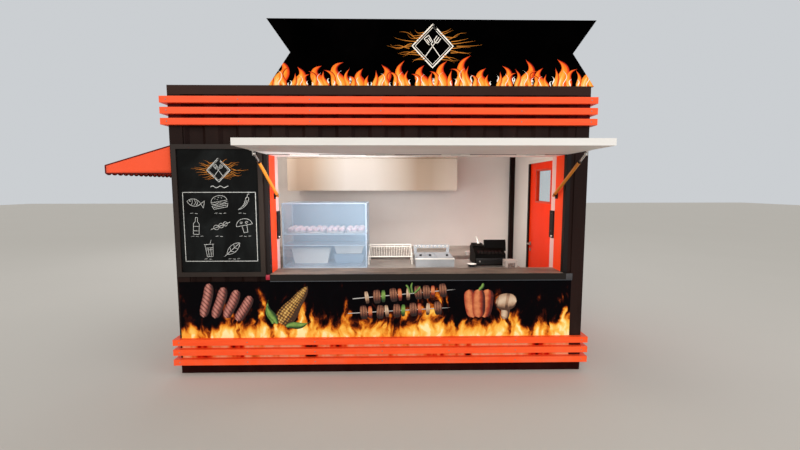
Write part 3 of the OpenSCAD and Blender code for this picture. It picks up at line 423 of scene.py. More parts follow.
def paintMaterial(name, look):
    material, tree, shader, coords = startMaterial(name)
    spot = coords["Object"]
    worn = linear(look["worn"])
    values = {"Vector": spot, "Streak": look["streak"], "Scale": 3.0, "Dust Top": 0.7}
    aged = useGroup(tree, agedPaint, values)
    tone = stepped(tree, aged["Tone"], 0.38, 0.72)
    colour = mixed(tree, times(tree, tone, 0.6), linear(look["base"]), worn)
    colour = mixed(tree, times(tree, aged["Chips"], 0.35), colour, worn)
    for low, high, code in look["patches"]:
        colour = mixed(tree, boxMask(tree, spot, low, high), colour, linear(code))
    colour = mixed(tree, times(tree, aged["Dust"], look["dusty"]), colour, linear(look["dust"]))
    rough = scaled(tree, aged["Tone"], 0.16, look["rough"] - 0.08)
    paintShader(tree, shader, colour, scaled(tree, aged["Dust"], 0.3, rough, clamp=True), look["shine"])
    bumped(tree, shader, aged["Fine"], 0.12, 0.0006)
    return material


timberLook = {"base": "#fb5521", "grain": "#f2481a", "faded": "#ff6430", "dust": "#b98e78", "rough": 0.3,
              "shine": 0.2}


def timberMaterial(name, turned):  # painted battens, the grain along X or along Y
    look = timberLook
    material, tree, shader, coords = startMaterial(name)
    spot = coords["Object"]
    turn = {"Vector": spot, "Rotation": (0, 0, math.radians(90) * turned)}
    grain = useGroup(tree, timberGrain, {"Vector": addNode(tree, "ShaderNodeMapping", turn).outputs[0]})
    values = {"Vector": spot, "Streak": (0.35, 0.35, 1), "Scale": 2.2, "Dust Top": 0.4}
    aged = useGroup(tree, agedPaint, values)
    base, dark = linear(look["base"]), linear(look["grain"])
    colour = mixed(tree, stepped(tree, grain["Grain"], 0.36, 0.7), base, dark)
    fading = times(tree, stepped(tree, aged["Tone"], 0.4, 0.75), 0.5)
    colour = mixed(tree, fading, colour, linear(look["faded"]))
    colour = mixed(tree, times(tree, aged["Dust"], 0.22), colour, linear(look["dust"]))
    paintShader(tree, shader, colour, scaled(tree, aged["Tone"], 0.2, look["rough"]), look["shine"])
    bumped(tree, shader, grain["Height"], 0.25, 0.001)
    return material


metals = {
    "stainless": {"base": "#d6cfc8", "rough": 0.34, "stretch": (1.2, 140, 140)},
    "coolSteel": {"base": "#b2b6ba", "rough": 0.36, "stretch": (1.2, 120, 120), "metal": 0.3},
    "zincPlate": {"base": "#9d9a95", "rough": 0.42, "stretch": (40, 40, 40)},
    "tubeGrey": {"base": "#8c8985", "rough": 0.45, "stretch": (8, 90, 90)},
    "rodSilver": {"base": "#e2e0dc", "rough": 0.16, "stretch": (160, 20, 20)},
    "handleMetal": {"base": "#bdb9b2", "rough": 0.26, "stretch": (90, 12, 90)},
}


def metalMaterial(name, look):
    material, tree, shader, coords = startMaterial(name)
    lines = useGroup(tree, brushedLines, {"Vector": coords["Object"], "Stretch": look["stretch"]})
    base = linear(look["base"])
    dark = tuple(c * 0.72 for c in base[:3]) + (1.0,)
    rough = scaled(tree, lines["Lines"], 0.22, look["rough"] - 0.1)
    setInputs(tree, shader, {
        "Base Color": mixed(tree, stepped(tree, lines["Cloud"], 0.3, 0.75), base, dark),
        "Metallic": look.get("metal", 0.9),
        "Roughness": scaled(tree, lines["Cloud"], 0.12, rough),
    })
    bumped(tree, shader, lines["Lines"], 0.15, 0.0003)
    return material


hoodReflectionStripes = {"rough": 0.45, "metal": 0.25, "start": -1.3, "end": 1.0, "stops": [
    (0.0, "#cdbba9"), (0.06, "#b59d88"), (0.14, "#b8a18c"), (0.24, "#c8bdb0"), (0.34, "#d5cfc8"),
    (0.5, "#d0c9c1"), (0.64, "#bfb3a6"), (0.76, "#a5907c"), (0.84, "#ab9783"), (0.93, "#c4b5a4"),
    (1.0, "#cec1b3")]}


def hoodMaterial():  # satin sheet with painted reflections: broad upright light and dark stripes along X
    material, tree, shader, coords = startMaterial("hoodSheet")
    start, end = hoodReflectionStripes["start"], hoodReflectionStripes["end"]
    along = sums(tree, "SUBTRACT", axisOf(tree, coords["Object"], "X"), start)
    part = sums(tree, "DIVIDE", along, end - start, clamp=True)
    lines = useGroup(tree, brushedLines, {"Vector": coords["Object"], "Stretch": (1.2, 1.2, 160)})
    setInputs(tree, shader, {
        "Base Color": ramped(tree, part, hoodReflectionStripes["stops"]),
        "Metallic": hoodReflectionStripes["metal"],
        "Roughness": scaled(tree, lines["Lines"], 0.2, hoodReflectionStripes["rough"]),
    })
    bumped(tree, shader, lines["Lines"], 0.12, 0.0003)
    return material


counterLook = {"pale": "#93806f", "mid": "#6f5f53", "dark": "#453a34", "rough": 0.5}


def counterMaterial():  # brown board, worn and streaked along its length
    material, tree, shader, coords = startMaterial("counterBoard")
    pale, mid, dark = [linear(counterLook[key]) for key in ("pale", "mid", "dark")]
    grain = useGroup(tree, timberGrain, {"Vector": coords["Object"]})
    blotch = noiseAt(tree, stretched(tree, coords["Object"], (0.8, 3, 3)), 3.2, 7, 0.66, 0.4)
    colour = mixed(tree, stepped(tree, blotch, 0.3, 0.68), dark, pale)
    colour = mixed(tree, stepped(tree, grain["Grain"], 0.42, 0.66, 0.0, 0.6), colour, mid)
    rough = scaled(tree, blotch, 0.3, counterLook["rough"] - 0.15)
    setInputs(tree, shader, {"Base Color": colour, "Roughness": rough})
    bumped(tree, shader, grain["Height"], 0.3, 0.001)
    return material


printLook = {
    "foot": 0.32, "reach": 0.40, "black": "#050406", "haze": "#0a0a0d", "shine": 0.02, "printInShadeTop": 0.35,
    "printInShade": [(0.0, "#1a0302"), (0.34, "#3c0604"), (0.39, "#c21806"), (0.43, "#dc6a30"), (0.52, "#e2a078"),
             (0.60, "#e07a38"), (0.68, "#9a2c10")],
}


def printMaterial():
    material, tree, shader, coords = startMaterial("fireprint")
    spot, look = coords["Object"], printLook
    fire = useGroup(tree, printedFire, {"Vector": spot, "Foot": look["foot"], "Reach": look["reach"]})
    haze = stepped(tree, noiseAt(tree, spot, 2.7, 6, 0.62, 0.8), 0.5, 0.85)
    ground = mixed(tree, haze, linear(look["black"]), linear(look["haze"]))
    colour = mixed(tree, 1.0, ground, fire["Color"], "LIGHTEN")
    # below this height the print behind the lower battens is a darker red ramp: partly the print's own flame
    # pattern, partly painted shade
    printInShade = ramped(tree, noiseAt(tree, stretched(tree, spot, (1, 1, 0.3)), 4.2, 3, 0.6), look["printInShade"])
    behind = sums(tree, "LESS_THAN", axisOf(tree, spot, "Z"), look["printInShadeTop"])
    ink = noiseAt(tree, spot, 60, 3)
    paintShader(tree, shader, mixed(tree, behind, colour, printInShade), scaled(tree, ink, 0.12, 0.46), look["shine"])
    bumped(tree, shader, ink, 0.06, 0.0004)
    return material


slateLook = {"base": "#0b0c0c", "smudge": "#222525", "rough": 0.66, "shine": 0.06}


def slateMaterial():  # chalk board with wiped, cloudy smudges
    material, tree, shader, coords = startMaterial("chalkSlate")
    wiped = noiseAt(tree, stretched(tree, coords["Object"], (1, 1, 0.6)), 2.6, 7, 0.62, 1.4)
    swipes = noiseAt(tree, stretched(tree, coords["Object"], (2.5, 1, 14)), 1.8, 4, 0.6, 0.7)
    smudge = times(tree, stepped(tree, wiped, 0.4, 0.78), scaled(tree, swipes, 0.8, 0.2))
    colour = mixed(tree, smudge, linear(slateLook["base"]), linear(slateLook["smudge"]))
    paintShader(tree, shader, colour, scaled(tree, swipes, 0.2, slateLook["rough"] - 0.1), slateLook["shine"])
    bumped(tree, shader, swipes, 0.08, 0.0005)
    return material


signLook = {"base": "#010101", "sheen": "#040303", "rough": 0.7, "shine": 0.0}


def signMaterial():
    material, tree, shader, coords = startMaterial("signFace")
    cloud = noiseAt(tree, coords["Object"], 1.8, 6, 0.6)
    fine = noiseAt(tree, coords["Object"], 70, 3)
    colour = mixed(tree, stepped(tree, cloud, 0.4, 0.8), linear(signLook["base"]), linear(signLook["sheen"]))
    paintShader(tree, shader, colour, scaled(tree, fine, 0.14, signLook["rough"]), signLook["shine"])
    bumped(tree, shader, fine, 0.05, 0.0004)
    return material


glassLook = {"reflectionBlue": "#93a9bd", "reflectionPaleBlue": "#a3b4c3", "cover": 0.24, "reflectionRough": 0.06,
             "doorTint": "#e4f1f4", "rough": 0.03}


def glassMaterial(name, tint):
    material, tree, shader, coords = startMaterial(name)
    smear = noiseAt(tree, stretched(tree, coords["Object"], (1, 1, 0.4)), 5, 5, 0.6)
    setInputs(tree, shader, {
        "Base Color": mixed(tree, stepped(tree, smear, 0.45, 0.9), linear(tint), linear("#ffffff")),
        "Roughness": scaled(tree, smear, 0.05, glassLook["rough"] - 0.02),
        "Transmission Weight": 1.0,
        "IOR": 1.45,
    })
    return material


def skyReflectionMaterial():  # the case's panes: clear, with a thin pale blue layer of painted sky reflection
    material, tree, shader, coords = startMaterial("caseGlass")
    smear = noiseAt(tree, stretched(tree, coords["Object"], (1, 1, 0.4)), 4, 5, 0.6)
    setInputs(tree, shader, {
        "Alpha": scaled(tree, smear, 0.08, glassLook["cover"], clamp=True),
        "Base Color": mixed(tree, smear, linear(glassLook["reflectionBlue"]), linear(glassLook["reflectionPaleBlue"])),
        "Roughness": glassLook["reflectionRough"],
    })
    return material


finishes = {name: paintMaterial(name, look) for name, look in paints.items()}
finishes.update({name: metalMaterial(name, look) for name, look in metals.items()})
finishes.update({
    "battenAlongX": timberMaterial("battenAlongX", 0),
    "battenAlongY": timberMaterial("battenAlongY", 1),
    "hoodSheet": hoodMaterial(),
    "counterBoard": counterMaterial(),
    "fireprint": printMaterial(),
    "chalkSlate": slateMaterial(),
    "signFace": signMaterial(),
    "caseGlass": skyReflectionMaterial(),
    "doorGlass": glassMaterial("doorGlass", glassLook["doorTint"]),
})

nodeFinish = {
    "blackSteel": ["opening_frame", "cover_plates", "sign_posts", "strut_brackets"],
    "doorFrame": ["door_frame"],
    "baseBlackBounceRed": ["base_frame"],
    "railSteelLitCopy": ["top_rails"],
    "darkSteel": ["corner_posts", "front_header", "front_wall_left", "front_wall_right", "front_apron",
                  "left_wall", "rear_wall", "right_wall_front", "right_wall_rear", "right_wall_over_door"],
    "floorSheet": ["floor_deck"],
    "roofPaint": ["roof_panel"],
    "lining": ["interior_lining"],
    "jambOrange": ["opening_jambs"],
    "whitePaint": ["opening_soffit", "flap_hinge"],
    "guideBouncePink": ["guide_channels"],
    "caseFrame": ["display_case"],
    "standGrey": ["service_stand"],
    "counterBoard": ["countertop"],
    "edgeBlack": ["counter_edge"],
    "fireprint": ["print_panel"],
    "boardFrame": ["menu_board_frame"],
    "chalkSlate": ["menu_board"],
    "battenAlongX": ["battens_front_upper", "battens_front_lower", "battens_rear"],
    "battenAlongY": ["battens_left", "battens_right_upper", "battens_right_front_lower",
                     "battens_right_rear_lower"],
    "signFace": ["roof_sign"],
    "tubeGrey": ["awning_frame"],
    "flapWhite": ["flap_panel"],
    "strutGold": ["strut_cylinder_left", "strut_cylinder_right"],
    "rodSilver": ["strut_rod_left", "strut_rod_right"],
    "doorOrange": ["door_leaf"],
    "pipingRed": ["side_awning"],
    "doorGlass": ["door_glass"],
    "handleMetal": ["door_handle"],
    "stainless": ["work_counter", "rear_bench"],
    "coolSteel": ["food_warmer"],
    "hoodSheet": ["extractor_hood"],
    "caseGlass": ["display_glass"],
    "wireCream": ["wire_rack"],
    "tillBlack": ["till"],
}
for finish, names in nodeFinish.items():
    for name in names:
        data = nodes[name].data
        if not data.materials:
            data.materials.append(None)
        for place in range(len(data.materials)):
            data.materials[place] = finishes[finish]
left = sorted(set(nodes) - {name for names in nodeFinish.values() for name in names})
print("finishes set; nodes without one:", left)

# Making pieces

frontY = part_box("corner_posts")[0][1]  # the front face of the body


def placePiece(name, bm, looks, body="kiosk", smoothBelow=None):
    mesh = bpy.data.meshes.new(name)
    bm.to_mesh(mesh)
    bm.free()
    for look in looks:
        mesh.materials.append(finishes[look])
    if smoothBelow:
        for polygon in mesh.polygons:
            polygon.use_smooth = True
        mesh.set_sharp_from_angle(angle=math.radians(smoothBelow))
    piece = bpy.data.objects.new(name, mesh)
    bpy.context.scene.collection.objects.link(piece)
    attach(piece, body)
    return piece


def slotNew(bm, known, slot):  # gives the faces made since known their material slot
    for face in bm.faces:
        if face not in known:
            face.material_index = slot


def cubeInto(bm, low, high):
    low, high = Vector(low), Vector(high)
    place = Matrix.Translation((low + high) / 2) @ Matrix.Diagonal((*(high - low), 1.0))
    return bmesh.ops.create_cube(bm, size=1.0, matrix=place)["verts"]


def bevelInto(bm, edges, width, steps):
    bmesh.ops.bevel(bm, geom=list(edges), offset=width, segments=steps, profile=0.5, affect="EDGES",
                    material=-1)


def boxInto(bm, low, high, edge, slot=0, steps=2):
    known = set(bm.faces)
    bevelInto(bm, {e for v in cubeInto(bm, low, high) for e in v.link_edges}, edge, steps)
    slotNew(bm, known, slot)


def turnedInto(bm, profile, place, steps=20, slot=0):  # (radius, height) pairs spun round Z and placed
    knownFaces, knownVerts = set(bm.faces), set(bm.verts)
    verts = [bm.verts.new((r, 0, z)) for r, z in profile]
    edges = [bm.edges.new(pair) for pair in zip(verts, verts[1:])]
    bmesh.ops.spin(bm, geom=verts + edges, cent=(0, 0, 0), axis=(0, 0, 1), dvec=(0, 0, 0),
                   angle=math.tau, steps=steps, use_merge=True, use_duplicate=False)
    bmesh.ops.remove_doubles(bm, verts=[v for v in bm.verts if v not in knownVerts], dist=1e-6)
    bmesh.ops.recalc_face_normals(bm, faces=[f for f in bm.faces if f not in knownFaces])
    bmesh.ops.transform(bm, matrix=place, verts=[v for v in bm.verts if v not in knownVerts])
    slotNew(bm, knownFaces, slot)


def facing(centre, direction):  # where a turned shape stands when its top looks along a direction
    return Matrix.Translation(centre) @ Vector(direction).to_track_quat("Z", "Y").to_matrix().to_4x4()


def trayInto(bm, low, high, wall, depth, edge, slot=0):  # an open tray
    known = set(bm.faces)
    verts = cubeInto(bm, low, high)
    top = max({f for v in verts for f in v.link_faces}, key=lambda f: f.calc_center_median().z)
    bmesh.ops.inset_individual(bm, faces=[top], thickness=wall)
    floorFace = bmesh.ops.extrude_discrete_faces(bm, faces=[top])["faces"][0]
    bmesh.ops.translate(bm, vec=(0, 0, -depth), verts=floorFace.verts)
    bevelInto(bm, {e for f in bm.faces if f not in known for e in f.edges}, edge, 1)
    slotNew(bm, known, slot)


def tubesInto(bm, lines, radius, sides=2):  # round wires along lists of points
    curve = bpy.data.curves.new("wire", "CURVE")
    curve.dimensions = "3D"
    curve.bevel_depth = radius
    curve.bevel_resolution = sides
    curve.use_fill_caps = True
    for points in lines:
        spline = curve.splines.new("POLY")
        spline.points.add(len(points) - 1)
        for target, point in zip(spline.points, points):
            target.co = (*point, 1.0)
    holder = bpy.data.objects.new("wire", curve)
    mesh = bpy.data.meshes.new_from_object(holder)
    bm.from_mesh(mesh)
    bpy.data.objects.remove(holder)
    bpy.data.curves.remove(curve)
    bpy.data.meshes.remove(mesh)


def spineOf(foot, length, heading, bend, curl, steps=12):  # a curved line in the XZ plane, heading 0 upwards
    point = Vector(foot)
    points = [point.copy()]
    for i in range(steps):
        part = (i + 0.5) / steps
        angle = heading + bend * math.sin(1.5 * math.pi * part) + curl * part * part
        point = point + Vector((math.sin(angle), 0, math.cos(angle))) * length / steps
        points.append(point.copy())
    return points


def ribbonInto(bm, flow, spine, widthAt, y, shift=0.0, columns=2, slot=0):
    # A flat printed strip that faces the front. Its UV runs across and along it; shift tells strips apart.
    last = len(spine) - 1
    verts = bmesh.ops.create_grid(bm, x_segments=columns, y_segments=last, size=0.5, calc_uvs=True)["verts"]
    for vert in verts:
        across, along = vert.co.x * 2, min(max(vert.co.y + 0.5, 0.0), 1.0)
        row = min(int(along * last + 1e-4), last - 1)
        part = along * last - row
        point = spine[row].lerp(spine[row + 1], part)
        before, after = spine[max(row - (part < 0.5), 0)], spine[min(row + 1 + (part > 0.5), last)]
        tangent = (after - before).normalized()
        half = widthAt(along) / 2 * across
        vert.co = (point.x + tangent.z * half, y, point.z - tangent.x * half)
    for face in {f for v in verts for f in v.link_faces}:
        face.material_index = slot
        for loop in face.loops:
            loop[flow].uv.x += shift


def newFlat():  # an empty mesh with the UV map that ribbons use
    bm = bmesh.new()
    return bm, bm.loops.layers.uv.new("flow")


def leafWidth(width):  # pointed at both ends, widest low down
    return lambda part: width * math.sin(math.pi * min(part, 1.0) ** 0.62) ** 1.15 + 0.0006


def tongueWidth(width, belly=0.35):
    return lambda part: width * (1 - part) ** 0.85 * (1 + belly * math.sin(math.pi * part)) + 0.0008


# Printed colours that follow the ribbons

inks = {
    "signFlame": {
        "stops": [(0.0, "#5a0d08"), (0.18, "#b8220e"), (0.36, "#ea4a1a"), (0.54, "#f97420"),
                  (0.72, "#fd982c"), (0.88, "#fdb44c"), (1.0, "#ffe0a0")],
        "fade": 0.42, "rim": 0.72, "sharp": 1.7, "streak": 0.34, "long": 1.3, "aside": 0.3, "tip": 0.35},
    "creamInk": {
        "stops": [(0.0, "#f0b064"), (0.4, "#fbe8c8"), (1.0, "#fffaf0")],
        "fade": 0.15, "rim": 0.12, "sharp": 2.4, "streak": 0.1, "long": 1.5, "aside": 0.0, "tip": 0.0},
    "ember": {
        "stops": [(0.0, "#5a2206"), (0.5, "#a65818"), (1.0, "#d68a34")],
        "fade": 0.3, "rim": 0.3, "sharp": 2.4, "streak": 0.5, "long": 2.0, "aside": 0.0, "tip": 0.0},
}


def inkMaterial(name, look):
    material, tree, shader, coords = startMaterial(name)
    along = axisOf(tree, coords["UV"], "Y")
    side = sums(tree, "FRACT", axisOf(tree, coords["UV"], "X"))
    aside = look["aside"]  # shifts the hot core towards one side
    across = sums(tree, "ABSOLUTE", scaled(tree, side, 2.0 / (1 + aside), (aside - 1) / (1 + aside)))
    streak = noiseAt(tree, stretched(tree, coords["UV"], (3.2, look["long"], 1)), 1.7, 4, 0.55, 0.9)
    heat = scaled(tree, sums(tree, "POWER", along, 0.8), -look["fade"], 1.06)
    heat = scaled(tree, sums(tree, "POWER", across, look["sharp"]), -look["rim"], heat)
    heat = scaled(tree, sums(tree, "POWER", along, 4.0), -look["tip"], heat)
    heat = scaled(tree, sums(tree, "SUBTRACT", streak, 0.5), look["streak"] * 2, heat, clamp=True)
    paintShader(tree, shader, ramped(tree, heat, look["stops"]), scaled(tree, streak, 0.2, 0.5), 0.05)
    return material


foods = {
    "sausageInk": {"shade": "#2e110d", "mid": "#84423a", "light": "#bf8274", "mottle": 22, "spread": 0.5,
                   "bars": 9.0, "barDark": 0.6},
    "meatInk": {"shade": "#200d08", "mid": "#5e2f20", "light": "#9c6a4e", "mottle": 30, "spread": 0.7,
                "bars": 3.0, "barDark": 0.5},
    "cornInk": {"shade": "#3a210d", "mid": "#a0702c", "light": "#d8b468", "mottle": 9, "spread": 0.5},
    "leafInk": {"shade": "#132a0d", "mid": "#3f6524", "light": "#7fa34c", "mottle": 12, "spread": 0.5},
    "pepperInk": {"shade": "#3d0a06", "mid": "#9a3418", "light": "#d98452", "mottle": 8, "spread": 0.5},
    "onionInk": {"shade": "#4a3022", "mid": "#a9866a", "light": "#d3bb9f", "mottle": 10, "spread": 0.35,
                 "bars": 2.0, "barDark": 0.35},
    "stickInk": {"shade": "#2c2a2a", "mid": "#8d8a88", "light": "#dcdad6", "mottle": 4, "spread": 0.3},
}


def foodMaterial(name, look):  # round-looking printed food: lit from the upper left, darker at its edges
    material, tree, shader, coords = startMaterial(name)
    side = sums(tree, "FRACT", axisOf(tree, coords["UV"], "X"))
    offset = sums(tree, "ABSOLUTE", scaled(tree, side, 2.0, -0.72))
    light = times(tree, sums(tree, "SUBTRACT", 1.0, sums(tree, "POWER", offset, 1.7), clamp=True), 0.9)
    grain = noiseAt(tree, coords["Object"], look["mottle"] * 2.4, 5, 0.65)
    light = scaled(tree, sums(tree, "SUBTRACT", grain, 0.5), look["spread"] * 1.6, light)
    if "bars" in look:
        slant = scaled(tree, side, 0.16, axisOf(tree, coords["UV"], "Y"))
        wave = sums(tree, "SINE", times(tree, slant, look["bars"] * math.tau))
        light = scaled(tree, stepped(tree, wave, 0.45, 0.85), -look["barDark"], light)
    if name == "cornInk":
        kernels = {"Vector": stretched(tree, coords["UV"], (6, 17, 1)), "Scale": 1.0, "Randomness": 0.2}
        rows = addNode(tree, "ShaderNodeTexVoronoi", kernels).outputs["Distance"]
        light = scaled(tree, stepped(tree, rows, 0.2, 0.6), -0.75, light)
    stops = [(0.0, look["shade"]), (0.48, look["mid"]), (0.95, look["light"])]
    colour = ramped(tree, sums(tree, "MAXIMUM", light, 0.0, clamp=True), stops)
    paintShader(tree, shader, colour, 0.5, 0.3)
    return material


chalkLook = {"white": "#e8e8e4", "thin": "#9b9e9b"}


def chalkMaterial():  # chalk that breaks up along its stroke
    material, tree, shader, coords = startMaterial("chalkLine")
    crumbs = noiseAt(tree, coords["Object"], 240, 4, 0.7)
    thin, white = linear(chalkLook["thin"]), linear(chalkLook["white"])
    colour = mixed(tree, stepped(tree, crumbs, 0.42, 0.6), thin, white)
    setInputs(tree, shader, {"Base Color": colour, "Roughness": scaled(tree, crumbs, 0.1, 0.85)})
    bumped(tree, shader, crumbs, 0.3, 0.0005)
    return material


clothLook = {"base": "#fd5522", "faded": "#ff6a38", "under": "#dd3f1a", "threads": 640.0, "sheen": 0.25}


def clothMaterial():  # awning canvas on its UV map in metres
    material, tree, shader, coords = startMaterial("awningCloth")
    base, faded, under = [linear(clothLook[key]) for key in ("base", "faded", "under")]
    weave = useGroup(tree, canvasWeave, {"Vector": coords["UV"], "Threads": clothLook["threads"]})
    tone = stepped(tree, weave["Tone"], 0.36, 0.7)
    # painted shade: the weave's low points take the darker colour, its high threads the lighter
    colour = mixed(tree, times(tree, weave["Height"], 0.18), under, mixed(tree, tone, base, faded))
    setInputs(tree, shader, {
        "Base Color": mixed(tree, 0.75, colour, base),
        "Roughness": scaled(tree, tone, 0.1, 0.72),
        "Sheen Weight": clothLook["sheen"],
    })
    bumped(tree, shader, weave["Height"], 0.35, 0.0004)
    return material


doughLook = {"base": "#e2c6c8", "pink": "#d2a1a5", "pale": "#f0e3e3"}


def doughMaterial():  # pale pink goods behind the glass
    material, tree, shader, coords = startMaterial("paleGoods")
    cloud = noiseAt(tree, coords["Object"], 30, 4, 0.6)
    specks = noiseAt(tree, coords["Object"], 130, 3, 0.6)
    stops = [(0.34, doughLook["pink"]), (0.5, doughLook["base"]), (0.66, doughLook["pale"])]
    pinker = stepped(tree, specks, 0.5, 0.7, 0.0, 0.4)
    setInputs(tree, shader, {
        "Base Color": mixed(tree, pinker, ramped(tree, cloud, stops), linear(doughLook["pink"])),
        "Roughness": scaled(tree, specks, 0.3, 0.3),
        "Subsurface Weight": 0.15,
        "Subsurface Scale": 0.01,
    })
    bumped(tree, shader, specks, 0.3, 0.0015)
    return material


finishes.update({name: inkMaterial(name, look) for name, look in inks.items()})
finishes.update({name: foodMaterial(name, look) for name, look in foods.items()})
finishes.update({"chalkLine": chalkMaterial(), "awningCloth": clothMaterial(), "paleGoods": doughMaterial()})

# Sign: flames along the foot and an emblem

signArt = {
    "seed": 11, "flames": 16, "tall": (0.26, 0.35), "heights": (1.0, 0.7, 0.88), "wide": (0.085, 0.112),
    "jitter": 0.022, "sunk": 0.035, "core": 0.0055, "sliver": 0.011, "sliverTall": (0.04, 0.085),
    "lift": 0.0004, "layer": 0.00012, "top": 0.0014, "footTrim": 0.0004, "endSlope": (-0.819, 0, 0.573),
    "emblem": (0.487, 3.165), "emblemHalf": 0.196, "line": 0.012,
}
flameTongues = [  # aside, part of the height, part of the width, heading, bend, curl
    (0.0, 1.0, 1.0, -0.8, 1.25, 1.25),
    (-0.05, 0.62, 0.48, -0.95, 1.1, 1.9),
    (0.045, 0.7, 0.52, 0.8, -1.05, -0.5),
    (0.012, 0.46, 0.6, 0.15, -0.5, 0.3),
]


def cutTo(bm, point, outward):
    geometry = bm.verts[:] + bm.edges[:] + bm.faces[:]
    bmesh.ops.bisect_plane(bm, geom=geometry, dist=1e-6, plane_co=point, plane_no=outward, clear_outer=True)


def makeSignFlames():
    art = signArt
    draw = random.Random(art["seed"])
    low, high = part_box("roof_sign")
    bm, flow = newFlat()
    step = (high[0] - low[0]) / art["flames"]
    face = low[1] - art["lift"]
    made = 0
    for i in range(art["flames"]):
        middle = low[0] + (i + 0.5) * step + draw.uniform(-art["jitter"], art["jitter"])
        lean = draw.choice((-1, 1))
        tall = draw.uniform(*art["tall"]) * art["heights"][i % 3]
        wide = draw.uniform(*art["wide"])
        for k, (aside, length, width, *turns) in enumerate(flameTongues):
            made += 1
            turns = [value * lean * draw.uniform(0.8, 1.15) for value in turns]
            foot = (middle + aside * lean, 0, low[2] - art["sunk"])
            y = face - art["layer"] * (4 * (i % 2) + (k + 1) % 4)
            spine = spineOf(foot, tall * length + 0.03, *turns, 18)
            ribbonInto(bm, flow, spine, leafWidth(wide * width), y, made)
        made += 1
        turns = [value * lean for value in flameTongues[0][3:]]
        spine = spineOf((middle + 0.012 * lean, 0, low[2] - 0.01), tall * 0.6, *turns, 12)
        ribbonInto(bm, flow, spine, leafWidth(art["core"]), face - art["top"], made, slot=1)
        for side in (-1, 1):  # cream slivers between the flames
            made += 1
            foot = (middle + side * draw.uniform(0.07, 0.1), 0, low[2] + draw.uniform(-0.01, 0.04))
            length = draw.uniform(*art["sliverTall"])
            spine = spineOf(foot, length, 0.2 * side, -0.7 * side, draw.uniform(0.2, 0.8) * side, 10)
            ribbonInto(bm, flow, spine, leafWidth(art["sliver"]), face - art["top"], made, slot=1)
    slope = Vector(art["endSlope"])
    cutTo(bm, (low[0], 0, low[2]), slope)
    cutTo(bm, (high[0], 0, low[2]), (-slope.x, 0, slope.z))
    cutTo(bm, ((low[0] + high[0]) / 2, 0, low[2] + art["footTrim"]), (0, 0, -1))
    placePiece("signFlames", bm, ["signFlame", "creamInk"])


def lineInto(bm, flow, points, width, y, shift=0.0, slot=0):
    spine = []
    for a, b in zip(points, points[1:]):
        a, b = Vector((a[0], 0, a[1])), Vector((b[0], 0, b[1]))
        pieces = max(1, round((b - a).length / (width * 3)))
        spine += [a.lerp(b, k / pieces) for k in range(pieces)]
    spine.append(Vector((points[-1][0], 0, points[-1][1])))
    ribbonInto(bm, flow, spine, lambda part: width, y, shift, columns=1, slot=slot)


def turned2(points, centre, scale, angle=0.0):
    c, s = math.cos(angle), math.sin(angle)
    return [(centre[0] + scale * (x * c - z * s), centre[1] + scale * (x * s + z * c)) for x, z in points]


def arc(x, z, radiusX, radiusZ, start, end, steps=14):
    angles = [math.radians(start + (end - start) * i / steps) for i in range(steps + 1)]
    return [(x + radiusX * math.cos(a), z + radiusZ * math.sin(a)) for a in angles]


lozenge = [(0, 1), (0.98, 0), (0, -1), (-0.98, 0), (0, 1), (0.2, 0.8)]
fork = [
    [(0, -0.66), (0, 0.2)],
    [(-0.12, 0.56), (-0.12, 0.3), (0, 0.18), (0.12, 0.3), (0.12, 0.56)],
    [(0, 0.2), (0, 0.56)],
]
spatula = [
    [(0, -0.66), (0, 0.16)],
    [(-0.12, 0.16), (0.12, 0.16), (0.15, 0.56), (-0.15, 0.56), (-0.12, 0.16), (0.0, 0.16)],
    [(-0.05, 0.24), (-0.06, 0.46)],
    [(0.05, 0.24), (0.06, 0.46)],
]
crossedTools = ((fork, -36), (spatula, 36))  # drawn upright, and turned to the two sides by so many degrees
rayCount = 13  # at each side of an emblem


def emblemInto(bm, flow, centre, half, line, y):
    lineInto(bm, flow, turned2(lozenge, centre, half), line, y)
    lineInto(bm, flow, turned2(lozenge, centre, half * 0.86), line * 0.4, y)
    for tool, degrees in crossedTools:
        for points in tool:
            lineInto(bm, flow, turned2(points, centre, half * 0.92, math.radians(degrees)), line * 0.6, y)


def raysInto(bm, flow, centre, half, y, draw, slot):  # thin curling strokes at both sides of an emblem
    middle = rayCount // 2
    for side in (-1, 1):
        for k in range(rayCount):
            rise = (k - middle) / middle
            start = centre[0] + side * half * (1.02 - 0.8 * abs(rise) + draw.uniform(0.0, 0.25))
            length = half * (1.25 - 0.5 * abs(rise)) * draw.uniform(0.7, 1.05)
            foot = (start, 0, centre[1] + rise * half * 0.62)
            heading = side * (math.radians(90) - 0.12 * rise)
            spine = spineOf(foot, length, heading, draw.uniform(-0.6, 0.6), -side * 0.6 * (rise + 0.3), 12)
            ribbonInto(bm, flow, spine, tongueWidth(half * 0.03, 0.2), y - 0.0001 * (k % 3), k, slot=slot)


def makeSignEmblem():
    bm, flow = newFlat()
    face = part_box("roof_sign")[0][1] - signArt["lift"]
    emblemInto(bm, flow, signArt["emblem"], signArt["emblemHalf"], signArt["line"], face)
    raysInto(bm, flow, signArt["emblem"], signArt["emblemHalf"], face, random.Random(signArt["seed"] + 1), 1)
    placePiece("signEmblem", bm, ["creamInk", "ember"])


# Printed front panel: food over the fire

